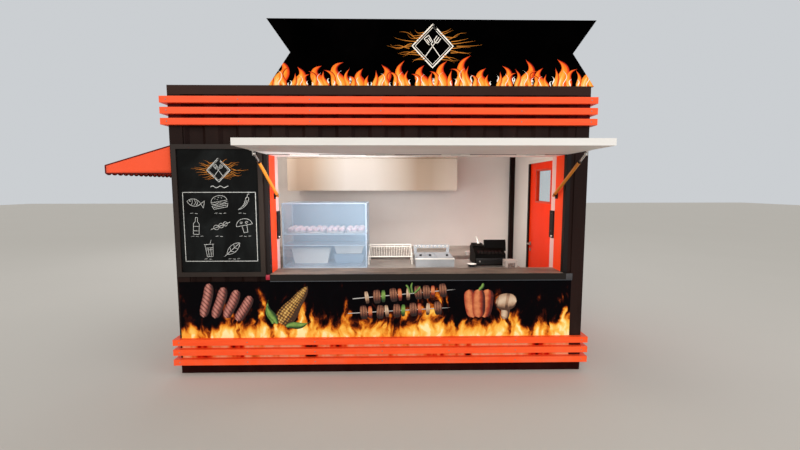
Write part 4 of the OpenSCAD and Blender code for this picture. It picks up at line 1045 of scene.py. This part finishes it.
printArt = {
    "lift": 0.0004, "layer": 0.00006, "rows": 26,
    "sausages": [(-1.76, 0.57, 6), (-1.65, 0.56, 12), (-1.54, 0.56, 17), (-1.43, 0.53, 23)],
    "cornLeaves": [(-1.08, 0.5, 6, -0.5), (-0.95, 0.47, 62, 0.5), (-1.04, 0.5, -14, -0.35)],
    "skewers": [(-0.24, 0.605, 87), (-0.19, 0.757, 85)],
    "skewered": ["meatInk", "pepperInk", "meatInk", "onionInk", "meatInk", "leafInk", "meatInk", "pepperInk",
                 "onionInk", "meatInk"],
    "bites": {"meatInk": (0.076, 0.135)},
    "otherBites": (0.04, 0.12),
    "herbs": [(0.28, 0.10, -30, 0.3), (0.30, 0.11, 4, -0.3), (0.32, 0.09, 38, 0.2)],
    "peppers": [(0.91, -9), (1.02, 7), (0.965, -1)],
}


def sausageShape(width, part):
    return width * (1 - abs(2 * part - 1) ** 5) ** 0.5 + 0.002


def cobShape(width, part):
    swell = 0.75 + 0.25 * math.sin(math.pi * min(1, part * 1.6 + 0.1))
    return width * (1 - part ** 3) ** 0.6 * swell + 0.002


def huskShape(width, part):
    return width * math.sin(math.pi * min(1, part + 0.12)) + 0.001


def stickShape(width, part):
    return width * (1 - part ** 12) + 0.001


def bellShape(width, part):
    swell = 0.55 + 0.45 * math.sin(math.pi * (0.2 + 0.62 * part))
    return width * swell * (1 - abs(2 * part - 1) ** 7) ** 0.5 + 0.001


def capShape(width, part):
    return width * (1 - abs(2 * part - 1) ** 2.4) ** 0.5 + 0.001


def makePrintedFood():
    art = printArt
    bm, flow = newFlat()
    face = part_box("print_panel")[0][1] - art["lift"]
    names = list(foods)
    layer = 0

    def strip(name, foot, length, width, heading, bend=0.0, curl=0.0, shape=sausageShape, columns=4):
        nonlocal layer
        layer += 1
        spine = spineOf((foot[0], 0, foot[1]), length, math.radians(heading), bend, curl, art["rows"])
        y = face - art["layer"] * layer
        ribbonInto(bm, flow, spine, lambda part: shape(width, part), y, layer, columns, names.index(name))

    for k, (x, z, turn) in enumerate(art["sausages"]):
        strip("sausageInk", (x, z), 0.35 - 0.02 * k, 0.094, turn, 0.16, 0.22)
    strip("cornInk", (-1.0, 0.5), 0.46, 0.185, 33, 0.05, 0.1, cobShape)
    for x, z, turn, bend in art["cornLeaves"]:
        strip("leafInk", (x, z), 0.25, 0.07, turn, bend, bend, huskShape)
    for row, (x, z, turn) in enumerate(art["skewers"]):
        heading = math.radians(turn)
        along = Vector((math.sin(heading), math.cos(heading)))
        foot = (x - along.x * 0.1, z - along.y * 0.1)
        strip("stickInk", foot, 1.02, 0.009, turn, shape=stickShape, columns=1)
        for k in range(len(art["skewered"])):
            name = art["skewered"][(k + 3 * row) % len(art["skewered"])]
            thick, wide = art["bites"].get(name, art["otherBites"])
            at = 0.02 + k * 0.082
            strip(name, (x + along.x * at, z + along.y * at), thick, wide, turn + 4 * ((k * 7) % 3 - 1))
    for x, length, turn, bend in art["herbs"]:
        strip("leafInk", (x, 0.80), length, 0.02, turn, bend)
    for x, turn in art["peppers"]:
        strip("pepperInk", (x, 0.55), 0.29, 0.13, turn, shape=bellShape)
    strip("leafInk", (0.965, 0.825), 0.085, 0.03, 12, 0.5, 0.5)
    strip("onionInk", (1.225, 0.53), 0.19, 0.085, 4)
    strip("onionInk", (1.13, 0.70), 0.21, 0.17, 90, -0.12, 0.0, capShape)
    placePiece("printedFood", bm, names)


# Menu board: chalk drawings and a border

boardArt = {
    "border": (-1.898, -1.207, 1.133, 1.800), "emblem": (-1.549, 2.010),
    "emblemHalf": 0.112, "emblemLine": 0.0075,
    "title": (-1.63, 1.852), "titleStep": 0.013, "titleWave": 0.009, "titlePoints": 14, "titleLine": 0.006,
    "line": 0.0038, "edge": 0.0056, "lift": 0.0005, "seed": 3, "scale": 0.086,
    "wordDrop": 0.101, "wordStart": 0.05, "wordPitch": 0.042, "wordLong": 0.026, "wordSlant": 0.003,
}
chalkDrawings = {
    "mushroom": [
        arc(0, 0.05, 0.9, 0.75, 0, 180), [(-0.9, 0.05), (0.9, 0.05)],
        [(-0.28, 0.05), (-0.22, -0.75), (0.22, -0.75), (0.28, 0.05)],
        arc(-0.3, 0.4, 0.13, 0.1, 0, 360, 8), arc(0.3, 0.35, 0.15, 0.11, 0, 360, 8)],
    "chilli": [
        arc(-0.9, 0.75, 1.55, 1.5, -82, -10), arc(-0.9, 1.1, 1.25, 1.82, -74, -20),
        [(-0.68, -0.73), (-0.56, -0.65)], [(0.27, 0.48), (0.44, 0.62), (0.63, 0.49)],
        [(0.44, 0.6), (0.5, 0.85), (0.7, 0.98)], arc(-0.85, 0.9, 1.4, 1.5, -60, -25, 6)],
    "fish": [
        [(-0.1, 0.3), (0.05, 0.0), (-0.1, -0.3)], [(0.15, 0.25), (0.28, 0.0), (0.15, -0.25)],
        arc(-0.15, -0.35, 0.85, 0.75, 25, 155), arc(-0.15, 0.35, 0.85, 0.75, 205, 335),
        [(0.6, 0.0), (0.98, 0.42), (0.98, -0.42), (0.6, 0.0)],
        arc(-0.6, 0.1, 0.06, 0.06, 0, 360, 6), arc(-0.62, 0, 0.3, 0.4, -50, 50, 6)],
    "bottle": [
        [(-0.32, -0.95), (-0.32, 0.25), (-0.12, 0.5), (-0.12, 0.95), (0.12, 0.95), (0.12, 0.5), (0.32, 0.25),
         (0.32, -0.95), (-0.32, -0.95)],
        [(-0.32, -0.05), (0.32, -0.05)], [(-0.32, -0.55), (0.32, -0.55)]],
    "burger": [
        arc(0, 0.15, 0.9, 0.65, 0, 180), [(-0.9, 0.15), (0.9, 0.15)],
        [(-0.9, 0.02), (-0.5, -0.12), (-0.1, 0.02), (0.3, -0.12), (0.9, 0.02)],
        [(-0.9, -0.22), (0.9, -0.22), (0.75, -0.6), (-0.75, -0.6), (-0.9, -0.22)],
        [(-0.45, 0.5), (-0.35, 0.56)], [(-0.05, 0.6), (0.07, 0.6)], [(0.3, 0.52), (0.4, 0.46)],
        [(-0.2, 0.36), (-0.1, 0.4)], [(-0.7, -0.4), (0.7, -0.4)]],
    "leaf": [
        arc(0.7, -0.7, 1.4, 1.4, 90, 180), arc(-0.7, 0.7, 1.4, 1.4, -90, 0), [(-0.95, -0.95), (0.6, 0.6)],
        [(-0.3, -0.3), (-0.35, 0.1)], [(-0.3, -0.3), (0.1, -0.35)], [(0.1, 0.1), (0.05, 0.45)],
        [(0.1, 0.1), (0.45, 0.05)]],
    "cup": [
        [(-0.45, 0.5), (-0.32, -0.9), (0.32, -0.9), (0.45, 0.5)], [(-0.55, 0.5), (0.55, 0.5)],
        [(0.1, 0.5), (0.3, 0.98)], [(-0.41, 0.1), (0.41, 0.1)], [(-0.39, -0.12), (0.39, -0.12)],
        [(-0.15, 0.1), (-0.12, -0.9)], [(0.15, 0.1), (0.12, -0.9)]],
    "skewer": [
        [(-0.98, -0.6), (0.98, 0.6)], arc(-0.42, -0.26, 0.3, 0.26, 0, 360, 12),
        arc(0.06, 0.04, 0.26, 0.26, 0, 360, 12), arc(0.5, 0.32, 0.24, 0.24, 0, 360, 12)],
}
chalkLayout = [("fish", 0, 0), ("burger", 1, 0), ("chilli", 2, 0), ("bottle", 0, 1), ("skewer", 1, 1),
               ("mushroom", 2, 1), ("cup", 0, 2), ("leaf", 1, 2)]


def makeChalk():
    art = boardArt
    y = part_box("menu_board")[0][1] - art["lift"]
    x0, x1, z0, z1 = art["border"]
    line, wide = art["line"], art["edge"]
    bm, flow = newFlat()
    for ends in ([(x0, z1), (x1, z1)], [(x1, z1 + wide / 2), (x1, z0 - wide / 2)],
                 [(x1, z0), (x0, z0)], [(x0, z0 - wide / 2), (x0, z1 + wide / 2)]):
        lineInto(bm, flow, ends, wide, y)
    emblemInto(bm, flow, art["emblem"], art["emblemHalf"], art["emblemLine"], y)
    raysInto(bm, flow, art["emblem"], art["emblemHalf"], y, random.Random(art["seed"]), 1)
    titleX, titleZ = art["title"]
    title = [(titleX + art["titleStep"] * i, titleZ + art["titleWave"] * math.sin(i * 1.1))
             for i in range(art["titlePoints"])]
    lineInto(bm, flow, title, art["titleLine"], y)
    cellX, cellZ = (x1 - x0) / 3, (z1 - z0) / 3
    for name, column, row in chalkLayout:
        shift = 0.5 if row == 2 else 0.0  # the last row holds two drawings only
        centre = (x0 + cellX * (column + 0.5 + shift), z1 - cellZ * (row + 0.45))
        angle = math.radians(((column * 3 + row * 5) % 4 - 1.5) * 7)
        for points in chalkDrawings[name]:
            lineInto(bm, flow, turned2(points, centre, art["scale"], angle), line, y)
        z = centre[1] - art["wordDrop"]
        for k in range(2 + (column + row) % 2):  # short strokes in place of words
            at = centre[0] - art["wordStart"] + art["wordPitch"] * k
            stroke = [(at, z), (at + art["wordLong"], z + art["wordSlant"] * (-1) ** k)]
            lineInto(bm, flow, stroke, line * 0.8, y)
    placePiece("chalkDrawing", bm, ["chalkLine", "ember"])


makeSignFlames()
makeSignEmblem()
makePrintedFood()
makeChalk()
print("sign, printed panel and menu board drawn")

# Awning cloth with scallops and piping

awningShape = {
    "slopeRows": 14, "hemRows": 4, "scallops": 26, "perScallop": 8, "endRows": 6, "sag": 0.011,
    "inset": 0.002, "hem": 0.09, "ripple": 0.003, "endDrop": 0.075, "down": 0.0034, "thick": 0.0026,
    "arms": 4, "piping": 0.006,
}


def makeAwning():
    low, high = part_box("side_awning")
    shape = awningShape
    wall, edge = high[0], low[0] + shape["piping"] * 0.4
    out = wall - edge
    topZ = high[2] - shape["down"]
    fall = high[2] - (low[2] + shape["hem"])
    start, end = low[1] + shape["inset"], high[1] - shape["inset"]
    length = end - start
    slopeLength = math.hypot(out, fall)
    scallop = length / shape["scallops"]
    radius = scallop * 0.6
    endZ = topZ - fall - shape["endDrop"]
    acrossRows = shape["slopeRows"] + shape["hemRows"]
    alongRows = shape["scallops"] * shape["perScallop"]
    total = alongRows + 2 * shape["endRows"]

    def sloped(part, y):  # a point of the slope, sagging between the arms
        span = (y - start) / length * (shape["arms"] - 1)
        sag = shape["sag"] * math.sin(math.pi * part) ** 0.8 * math.sin(math.pi * (span % 1.0)) ** 2
        return wall - part * out, topZ - part * fall - sag

    def hemEnd(y):
        aside = ((y - start) % scallop) - scallop / 2
        return shape["hem"] - (radius - math.sqrt(max(radius ** 2 - aside ** 2, 0.0))) - shape["down"]

    bm, flow = newFlat()
    grid = bmesh.ops.create_grid(bm, x_segments=acrossRows, y_segments=total, size=0.5, calc_uvs=True)
    cells = {}
    for vert in grid["verts"]:
        i = round((vert.co.x + 0.5) * acrossRows)
        j = round((vert.co.y + 0.5) * total) - shape["endRows"]
        part = min(i / shape["slopeRows"], 1.0)
        y = start + length * min(max(j, 0), alongRows) / alongRows
        x, z = sloped(part, y)
        u, v = part * slopeLength, y - start
        if i > shape["slopeRows"]:
            down = (i - shape["slopeRows"]) / shape["hemRows"]
            drop = hemEnd(y) * down
            x -= shape["ripple"] * math.sin(math.pi * down) * math.sin(math.tau * (y - start) / scallop / 2)
            z -= drop
            u += drop
        past = max(-j, j - alongRows, 0)
        if past:
            drop = (z - endZ) * past / shape["endRows"]
            z -= drop
            v += -drop if j < 0 else drop
        vert.co = (x, y, z)
        cells[vert] = (i, j, u, v)
    beyond = [f for f in bm.faces if all(cells[v][0] >= shape["slopeRows"] for v in f.verts)]
    corners = [f for f in beyond if all(cells[v][1] <= 0 for v in f.verts)
               or all(cells[v][1] >= alongRows for v in f.verts)]
    bmesh.ops.delete(bm, geom=corners, context="FACES")
    for face in bm.faces:
        for loop in face.loops:
            loop[flow].uv = cells[loop.vert][2:4]
    if sum(f.normal.z * f.calc_area() for f in bm.faces) < 0:
        bmesh.ops.reverse_faces(bm, faces=bm.faces[:])
    area = sum(f.calc_area() for f in bm.faces)
    awning = placePiece("awningCloth", bm, ["awningCloth"], smoothBelow=35)
    thick = awning.modifiers.new("thickness", "SOLIDIFY")
    thick.thickness = shape["thick"]
    thick.offset = -1.0
    steps = [k / shape["slopeRows"] for k in range(shape["slopeRows"] + 1)]
    ys = [start + length * k / alongRows for k in range(alongRows + 1)]
    lines = []
    for y in (start, end):
        lines.append([(sloped(p, y)[0], y, sloped(p, y)[1]) for p in steps])
        lines.append([(edge, y, topZ - fall), (edge, y, endZ)])
        lines.append([(edge, y, endZ), (wall, y, endZ)])
    lines.append([(sloped(1.0, y)[0], y, sloped(1.0, y)[1]) for y in ys[::4]])
    lines.append([(edge, y, topZ - fall - hemEnd(y)) for y in ys])
    bm = bmesh.new()
    tubesInto(bm, lines, shape["piping"], 1)
    piping = placePiece("awningPiping", bm, ["pipingRed"], smoothBelow=60)
    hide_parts("side_awning")
    print("awning cloth area", round(area, 3))


makeAwning()

# Door window beads, strut ends, knobs and other fittings

bead = {"wide": 0.024, "proud": 0.006, "sunk": 0.0005, "lap": 0.004, "edge": 0.0018}


def ringInto(bm, xs, ys, zs, wide, edge):  # a flat ring of four bevelled bars, in a plane of one X
    (x0, x1), (y0, y1), (z0, z1) = xs, ys, zs
    boxInto(bm, (x0, y0 - wide, z1), (x1, y1 + wide, z1 + wide), edge)
    boxInto(bm, (x0, y0 - wide, z0 - wide), (x1, y1 + wide, z0), edge)
    boxInto(bm, (x0, y0 - wide, z0), (x1, y0, z1), edge)
    boxInto(bm, (x0, y1, z0), (x1, y1 + wide, z1), edge)


def makeDoorBeads():
    low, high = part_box("door_glass")
    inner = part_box("door_leaf")[0][0]
    outer = high[0] + (low[0] - inner)
    lap, sunk, proud = bead["lap"], bead["sunk"], bead["proud"]
    ys, zs = (low[1] + lap, high[1] - lap), (low[2] + lap, high[2] - lap)
    bm = bmesh.new()
    for xs in ((inner - proud, inner + sunk), (outer - sunk, outer + proud)):
        ringInto(bm, xs, ys, zs, bead["wide"], bead["edge"])
    placePiece("doorWindowBeads", bm, ["beadOrange"], "side_door", 40)


strutEnd = {
    "eye": 0.013, "steps": 28,
    "cap": [(0.0145, 0.624), (0.0148, 0.624), (0.0166, 0.626), (0.0166, 0.6395), (0.0148, 0.6415),
            (0.0105, 0.6415), (0.0105, 0.6395), (0.0145, 0.6395), (0.0145, 0.624)],
    "collar": [(0.0145, 0.034), (0.0162, 0.034), (0.0162, 0.046), (0.0145, 0.046), (0.0145, 0.034)],
}


def makeStrutEnds():
    eye = strutEnd["eye"]
    for side in ("left", "right"):
        low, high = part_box("strut_cylinder_" + side)
        rodLow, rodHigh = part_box("strut_rod_" + side)
        tilt = math.atan2(rodHigh[2] - low[2] - 2 * eye, high[1] - rodLow[1] - 2 * eye)
        foot = Vector(((low[0] + high[0]) / 2, high[1] - eye, low[2] + eye))
        place = Matrix.Translation(foot) @ Matrix.Rotation(math.pi / 2 - tilt, 4, "X")
        bm = bmesh.new()
        for profile in (strutEnd["cap"], strutEnd["collar"]):
            turnedInto(bm, profile, place, strutEnd["steps"])
        placePiece("strutEnd_" + side, bm, ["blackPlastic"], side + "_cylinder", 35)


screwPlan = {
    "every": 0.62, "in": 0.06, "radius": 0.0062, "skirt": 0.0008, "steps": 8,
    "sideFirst": 0.12, "sideStep": 0.5, "sideCount": 5, "battens": 3, "battenFoot": 0.03, "battenPitch": 0.1,
    "doorway": (-0.65, 0.45),
}


def domeInto(bm, centre, direction, radius, slot=0):  # a round screw head that looks along a direction
    skirt = screwPlan["skirt"]
    profile = [(0.0, radius * 0.5), (radius * 0.55, radius * 0.42), (radius * 0.9, radius * 0.2),
               (radius, -skirt), (0.0, -skirt)]
    turnedInto(bm, profile, facing(centre, direction), screwPlan["steps"], slot)


def makeBattenScrews():
    plan = screwPlan
    bm = bmesh.new()
    low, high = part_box("battens_front_upper")
    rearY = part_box("battens_rear")[1][1]
    span = high[0] - low[0] - 2 * plan["in"]
    columns = int(span / plan["every"]) + 1
    fronts = [low[0] + plan["in"] + span * i / (columns - 1) for i in range(columns)]
    sides = [frontY + plan["sideFirst"] + plan["sideStep"] * i for i in range(plan["sideCount"])]
    for band in ("battens_front_upper", "battens_front_lower"):
        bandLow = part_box(band)[0]
        for k in range(plan["battens"]):
            z = bandLow[2] + plan["battenFoot"] + plan["battenPitch"] * k
            for x in fronts:
                domeInto(bm, (x, bandLow[1], z), (0, -1, 0), plan["radius"])
                domeInto(bm, (x, rearY, z), (0, 1, 0), plan["radius"])
            for y in sides:
                domeInto(bm, (low[0], y, z), (-1, 0, 0), plan["radius"])
                if band == "battens_front_upper" or not plan["doorway"][0] < y < plan["doorway"][1]:
                    domeInto(bm, (high[0], y, z), (1, 0, 0), plan["radius"])
    placePiece("battenScrews", bm, ["zincPlate"], smoothBelow=50)


trim = {
    "stripProud": 0.0015, "stripUnder": 0.001, "stripTall": 0.006,
    "plateWide": 0.062, "plateProud": 0.0012, "plateFoot": 0.008, "plateHead": 0.004,
    "tagWide": 0.043, "tagGap": 0.0015, "tagDeep": 0.022, "tagFoot": 0.946, "tagHead": 0.996,
    "tagEdge": 0.005, "lap": 0.001, "edge": 0.0006,
}


def makeCounterTrim():  # a strip along the foot, a plate round the right end, a crimson tag at the left
    (x0, y0, z0), (x1, _, z1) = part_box("counter_edge")
    back, plateProud = y0 + trim["lap"], trim["plateProud"]
    bm = bmesh.new()
    boxInto(bm, (x0, y0 - trim["stripProud"], z0 - trim["stripUnder"]), (x1, back, z0 + trim["stripTall"]),
            trim["edge"])
    boxInto(bm, (x1 - trim["plateWide"], y0 - plateProud, z0 + trim["plateFoot"]),
            (x1 + plateProud, back, z1 - trim["plateHead"]), trim["edge"], 1)
    boxInto(bm, (x0 - trim["tagWide"], frontY - trim["tagDeep"], trim["tagFoot"]),
            (x0 - trim["tagGap"], frontY, trim["tagHead"]), trim["tagEdge"], 2)
    placePiece("counterTrim", bm, ["trimGrey", "edgeGrey", "crimson"], smoothBelow=40)


knob = {
    "profile": [(0.0, 0.016), (0.006, 0.0155), (0.0085, 0.012), (0.0085, 0.007), (0.005, 0.004),
                (0.005, -0.001), (0.0, -0.001)],
    "in": 0.014, "back": 0.012, "up": 0.02, "steps": 16, "screwUp": 0.07, "screwDown": 0.03,
    "screwRadius": 0.005,
}


def makeCoverKnobs():
    low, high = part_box("cover_plates")
    bm = bmesh.new()
    for x, side in ((low[0] + knob["in"], 1), (high[0] - knob["in"], -1)):
        place = facing((x, low[1] + knob["back"], low[2] + knob["up"]), (side, 0, 0))
        turnedInto(bm, knob["profile"], place, knob["steps"])
        for z in (low[2] + knob["screwUp"], high[2] - knob["screwDown"]):
            domeInto(bm, (x, (low[1] + high[1]) / 2, z), (side, 0, 0), knob["screwRadius"], 1)
    placePiece("coverKnobs", bm, ["plasticWhite", "zincPlate"], smoothBelow=40)


makeDoorBeads()
makeStrutEnds()
makeBattenScrews()
makeCounterTrim()
makeCoverKnobs()
print("fittings made")

# What stands on the worktops

goods = {
    "seed": 5, "groups": 4, "perGroup": 3, "rows": 3, "lump": 0.034, "lumpDeep": 0.042, "lumpTall": 0.031,
    "shelf": 0.363, "shelfThick": 0.008, "side": 0.03, "gap": 0.006, "trayFront": 0.045,
    "trayRear": 0.36, "trayTall": 0.022,
    "rowFirst": 0.095, "rowPitch": 0.092, "lumpUp": 0.036,
}


def lumpInto(bm, centre, radii, seed, slot=0):
    verts = bmesh.ops.create_icosphere(bm, subdivisions=2, radius=1.0)["verts"]
    for vert in verts:
        bump = 1 + 0.22 * noiseField.noise(vert.co * 1.7 + Vector((seed, 0, seed)))
        vert.co = Vector([centre[k] + vert.co[k] * radii[k] * bump for k in range(3)])
    for face in {f for v in verts for f in v.link_faces}:
        face.material_index = slot


def makeCaseGoods():
    plan = goods
    draw = random.Random(plan["seed"])
    low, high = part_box("display_case")
    shelf = low[2] + plan["shelf"] + plan["shelfThick"]
    innerLow, innerHigh = low[0] + plan["side"], high[0] - plan["side"]
    pitch = (innerHigh - innerLow) / plan["groups"]
    bm = bmesh.new()
    for g in range(plan["groups"]):
        x0 = innerLow + g * pitch + plan["gap"]
        x1 = x0 + pitch - 2 * plan["gap"]
        trayInto(bm, (x0, low[1] + plan["trayFront"], shelf + 0.0005),
                 (x1, low[1] + plan["trayRear"], shelf + plan["trayTall"]), 0.004, 0.017, 0.0015, 1)
        for row in range(plan["rows"]):
            for k in range(plan["perGroup"]):
                centre = (x0 + (x1 - x0) * (k + 0.5) / plan["perGroup"] + draw.uniform(-0.004, 0.004),
                          low[1] + plan["rowFirst"] + plan["rowPitch"] * row,
                          shelf + plan["lumpUp"] + draw.uniform(-0.002, 0.003))
                radii = (plan["lump"] * draw.uniform(0.88, 1.02), plan["lumpDeep"],
                         plan["lumpTall"] * draw.uniform(0.9, 1.05))
                lumpInto(bm, centre, radii, draw.uniform(0, 40))
    placePiece("caseGoods", bm, ["paleGoods", "stainless"], smoothBelow=50)


caseBox = {
    "foot": 0.0065, "front": 0.225, "rear": 0.30, "wall": 0.004, "floor": 0.01, "edge": 0.003,
    "narrowing": 0.16,
    "boxes": [(-1.043, -0.6, 0.0, 0.172, 1), (-0.57, -0.215, 0.0, 0.108, 0), (-0.56, -0.225, 0.11, 0.2, 1)],
    "paneIn": 0.013, "paneBack": 0.009, "paneFront": 0.004, "paneEdge": 0.001,
}


def makeCaseBoxes():
    low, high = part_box("display_case")
    inward = caseBox["paneIn"]
    bm = bmesh.new()
    boxInto(bm, (low[0] + inward, high[1] - caseBox["paneBack"], low[2] + inward),
            (high[0] - inward, high[1] - caseBox["paneFront"], high[2] - inward), caseBox["paneEdge"])
    foot = low[2] + caseBox["foot"]
    for x0, x1, z0, z1, slot in caseBox["boxes"]:
        known = set(bm.verts)
        trayInto(bm, (x0, low[1] + caseBox["front"], foot + z0), (x1, low[1] + caseBox["rear"], foot + z1),
                 caseBox["wall"], z1 - z0 - caseBox["floor"], caseBox["edge"], slot)
        for vert in bm.verts:  # boxes narrow towards the foot
            if vert not in known:
                part = (foot + z1 - vert.co.z) / (z1 - z0)
                vert.co.x += ((x0 + x1) / 2 - vert.co.x) * caseBox["narrowing"] * part
    placePiece("caseBoxes", bm, ["paneSkyReflectionBlue", "boxGrey"], smoothBelow=40)


warmer = {
    "deck": 0.091, "rim": 0.02, "strip": 0.008, "holes": 9, "up": 0.073, "lidPlaces": (0.5, 0.5, 1.5),
    "bandSide": 0.004, "bandFront": 0.006, "bandBack": 0.014, "bandUnder": 0.012,
    "bandOver": 0.003, "bandEdge": 0.0025,
    "cap": [(0.0, 0.0255), (0.0105, 0.0248), (0.0136, 0.021), (0.0136, 0.0065), (0.0165, 0.0062),
            (0.0165, 0.0045), (0.0, 0.0045)],
    "ring": [(0.0085, 0.0), (0.0095, 0.0028), (0.0125, 0.0024), (0.0135, 0.0), (0.0085, 0.0)],
}


def makeWarmerParts():
    plan, rim = warmer, warmer["rim"]
    low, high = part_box("food_warmer")
    deck = low[2] + plan["deck"]
    wide, deep = high[0] - low[0], high[1] - low[1]
    narrow = (wide - 4 * rim) / 4
    bm = bmesh.new()
    boxInto(bm, (low[0] - plan["bandSide"], low[1] - plan["bandFront"], deck - plan["bandUnder"]),
            (high[0] + plan["bandSide"], low[1] + plan["bandBack"], deck + plan["bandOver"]),
            plan["bandEdge"])
    y = low[1] + rim + (deep - 3 * rim) / 3
    for i, along in enumerate(plan["lidPlaces"]):  # the lids' knobs
        x = low[0] + rim + i * (narrow + rim) + along * narrow
        turnedInto(bm, plan["cap"], Matrix.Translation((x, y, deck)), 20, 1)
    for i in range(plan["holes"]):
        centre = (low[0] + wide * (i + 0.5) / plan["holes"], high[1] - plan["strip"], deck + plan["up"])
        turnedInto(bm, plan["ring"], facing(centre, (0, -1, 0)), 16)
    placePiece("warmerParts", bm, ["plasticWhite", "blackPlastic"], smoothBelow=40)


till = {
    "left": 1.026, "right": 1.366, "front": 0.5, "low": 0.095, "rise": 0.03, "deep": 0.32 * 0.55,
    "drawer": (0.008, -0.003, 0.012, 0.001, 0.083, 0.0018),  # side, front, foot, back, head, edge
    "pull": (0.10, -0.009, 0.058, -0.002, 0.068, 0.002),
    "lock": [(0.0, 0.006), (0.008, 0.0055), (0.0095, 0.003), (0.0095, -0.001), (0.0, -0.001)],
    "lockAt": (0.05, -0.003, 0.047), "columns": 7, "rows": 3, "keyFirst": (0.03, 0.014),
    "keyPitch": (0.04, 0.024), "keySize": (0.03, 0.017), "keyTall": 0.006, "keySunk": 0.0005,
    "keyEdge": 0.0018,
}


def makeTillParts():
    plan = till
    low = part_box("till")[0]
    x0, x1, y0 = plan["left"], plan["right"], frontY + plan["front"]
    bm = bmesh.new()
    for side, front, foot, back, head, edge in (plan["drawer"], plan["pull"]):
        boxInto(bm, (x0 + side, y0 + front, low[2] + foot), (x1 - side, y0 + back, low[2] + head), edge)
    lockX, lockY, lockZ = plan["lockAt"]
    turnedInto(bm, plan["lock"], facing((x0 + lockX, y0 + lockY, low[2] + lockZ), (0, -1, 0)), 18, 1)
    slope = math.atan2(plan["low"] - plan["rise"], plan["deep"])
    tilt = Matrix.Translation((x0, y0, low[2] + plan["low"] + plan["rise"])) @ Matrix.Rotation(slope, 4, "X")
    known = set(bm.verts)
    for column in range(plan["columns"]):
        for row in range(plan["rows"]):
            kx = plan["keyFirst"][0] + plan["keyPitch"][0] * column
            ky = plan["keyFirst"][1] + plan["keyPitch"][1] * row
            corner = (kx + plan["keySize"][0], ky + plan["keySize"][1], plan["keyTall"])
            boxInto(bm, (kx, ky, -plan["keySunk"]), corner, plan["keyEdge"], 2 if row < 2 else 3, 1)
    bmesh.ops.transform(bm, matrix=tilt, verts=[v for v in bm.verts if v not in known])
    placePiece("tillParts", bm, ["blackPlastic", "handleMetal", "keyGrey", "keyDark"], smoothBelow=40)


slip = {"x": 1.108, "back": 0.735, "up": 0.215, "sunk": 0.004, "wide": 0.026, "tall": 0.088, "rows": 14,
        "thick": 0.0008}


def makePaperSlip():  # a short curling strip of paper out of the till
    bm = newFlat()[0]
    x, y, z = slip["x"], frontY + slip["back"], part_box("till")[0][2] + slip["up"]
    verts = bmesh.ops.create_grid(bm, x_segments=2, y_segments=slip["rows"], size=0.5, calc_uvs=True)["verts"]
    for vert in verts:
        across, along = vert.co.x, vert.co.y + 0.5
        lean = 0.12 * along ** 2
        vert.co = (x + slip["wide"] * across - 0.02 * along ** 3, y + 0.03 * math.sin(along * 2.2),
                   z - slip["sunk"] + slip["tall"] * along - lean * 0.05)
    piece = placePiece("paperSlip", bm, ["paper"], smoothBelow=60)
    piece.modifiers.new("thickness", "SOLIDIFY").thickness = slip["thick"]


dishPlan = {
    "saucer": [(0.0, 0.004), (0.022, 0.004), (0.024, 0.0005), (0.03, 0.0005), (0.034, 0.006), (0.053, 0.028),
               (0.0515, 0.0295), (0.033, 0.011), (0.0, 0.009)],
    "inside": [(0.0, 0.0128), (0.032, 0.0128), (0.0495, 0.0302), (0.0508, 0.0302), (0.034, 0.0122),
               (0.0, 0.0118)],
    "dish": [(0.0, 0.0005), (0.026, 0.0005), (0.028, 0.004), (0.0445, 0.044), (0.047, 0.0458),
             (0.0452, 0.048), (0.0425, 0.0458), (0.026, 0.008), (0.0, 0.008)],
    "saucerAt": (0.976, 0.45, 0.9755), "dishAt": (1.16, 1.64, 0.9005), "fillZ": 0.934, "steps": 32,
    "fill": [(-0.014, 0.004, 3.0), (0.015, -0.006, 9.0), (0.002, 0.016, 14.0)],
    "fillRadii": (0.02, 0.018, 0.016),
}


def makeDishes():
    plan = dishPlan
    bm = bmesh.new()
    for profile, spot, slot in (("saucer", "saucerAt", 0), ("inside", "saucerAt", 1), ("dish", "dishAt", 1)):
        x, back, z = plan[spot]
        turnedInto(bm, plan[profile], Matrix.Translation((x, frontY + back, z)), plan["steps"], slot)
    x, back, _ = plan["dishAt"]
    for dx, dy, seed in plan["fill"]:
        lumpInto(bm, (x + dx, frontY + back + dy, plan["fillZ"]), plan["fillRadii"], seed, 2)
    placePiece("dishes", bm, ["dishDark", "plasticWhite", "paleGoods"], smoothBelow=50)


makeCaseGoods()
makeCaseBoxes()
makeWarmerParts()
makeTillParts()
makePaperSlip()
makeDishes()
print("goods and small ware made")


def floorMaterial():
    material, tree, shader, coords = startMaterial("paleFloor")
    base = linear(stageSetup["floorColour"])
    shade = tuple(c * stageSetup["floorShade"] for c in base[:3]) + (1,)
    colour = mixed(tree, noiseAt(tree, coords["Object"], 0.5, 4), base, shade)
    setInputs(tree, shader, {"Base Color": colour, "Roughness": stageSetup["floorRough"]})
    return material


floor.data.materials.append(floorMaterial())
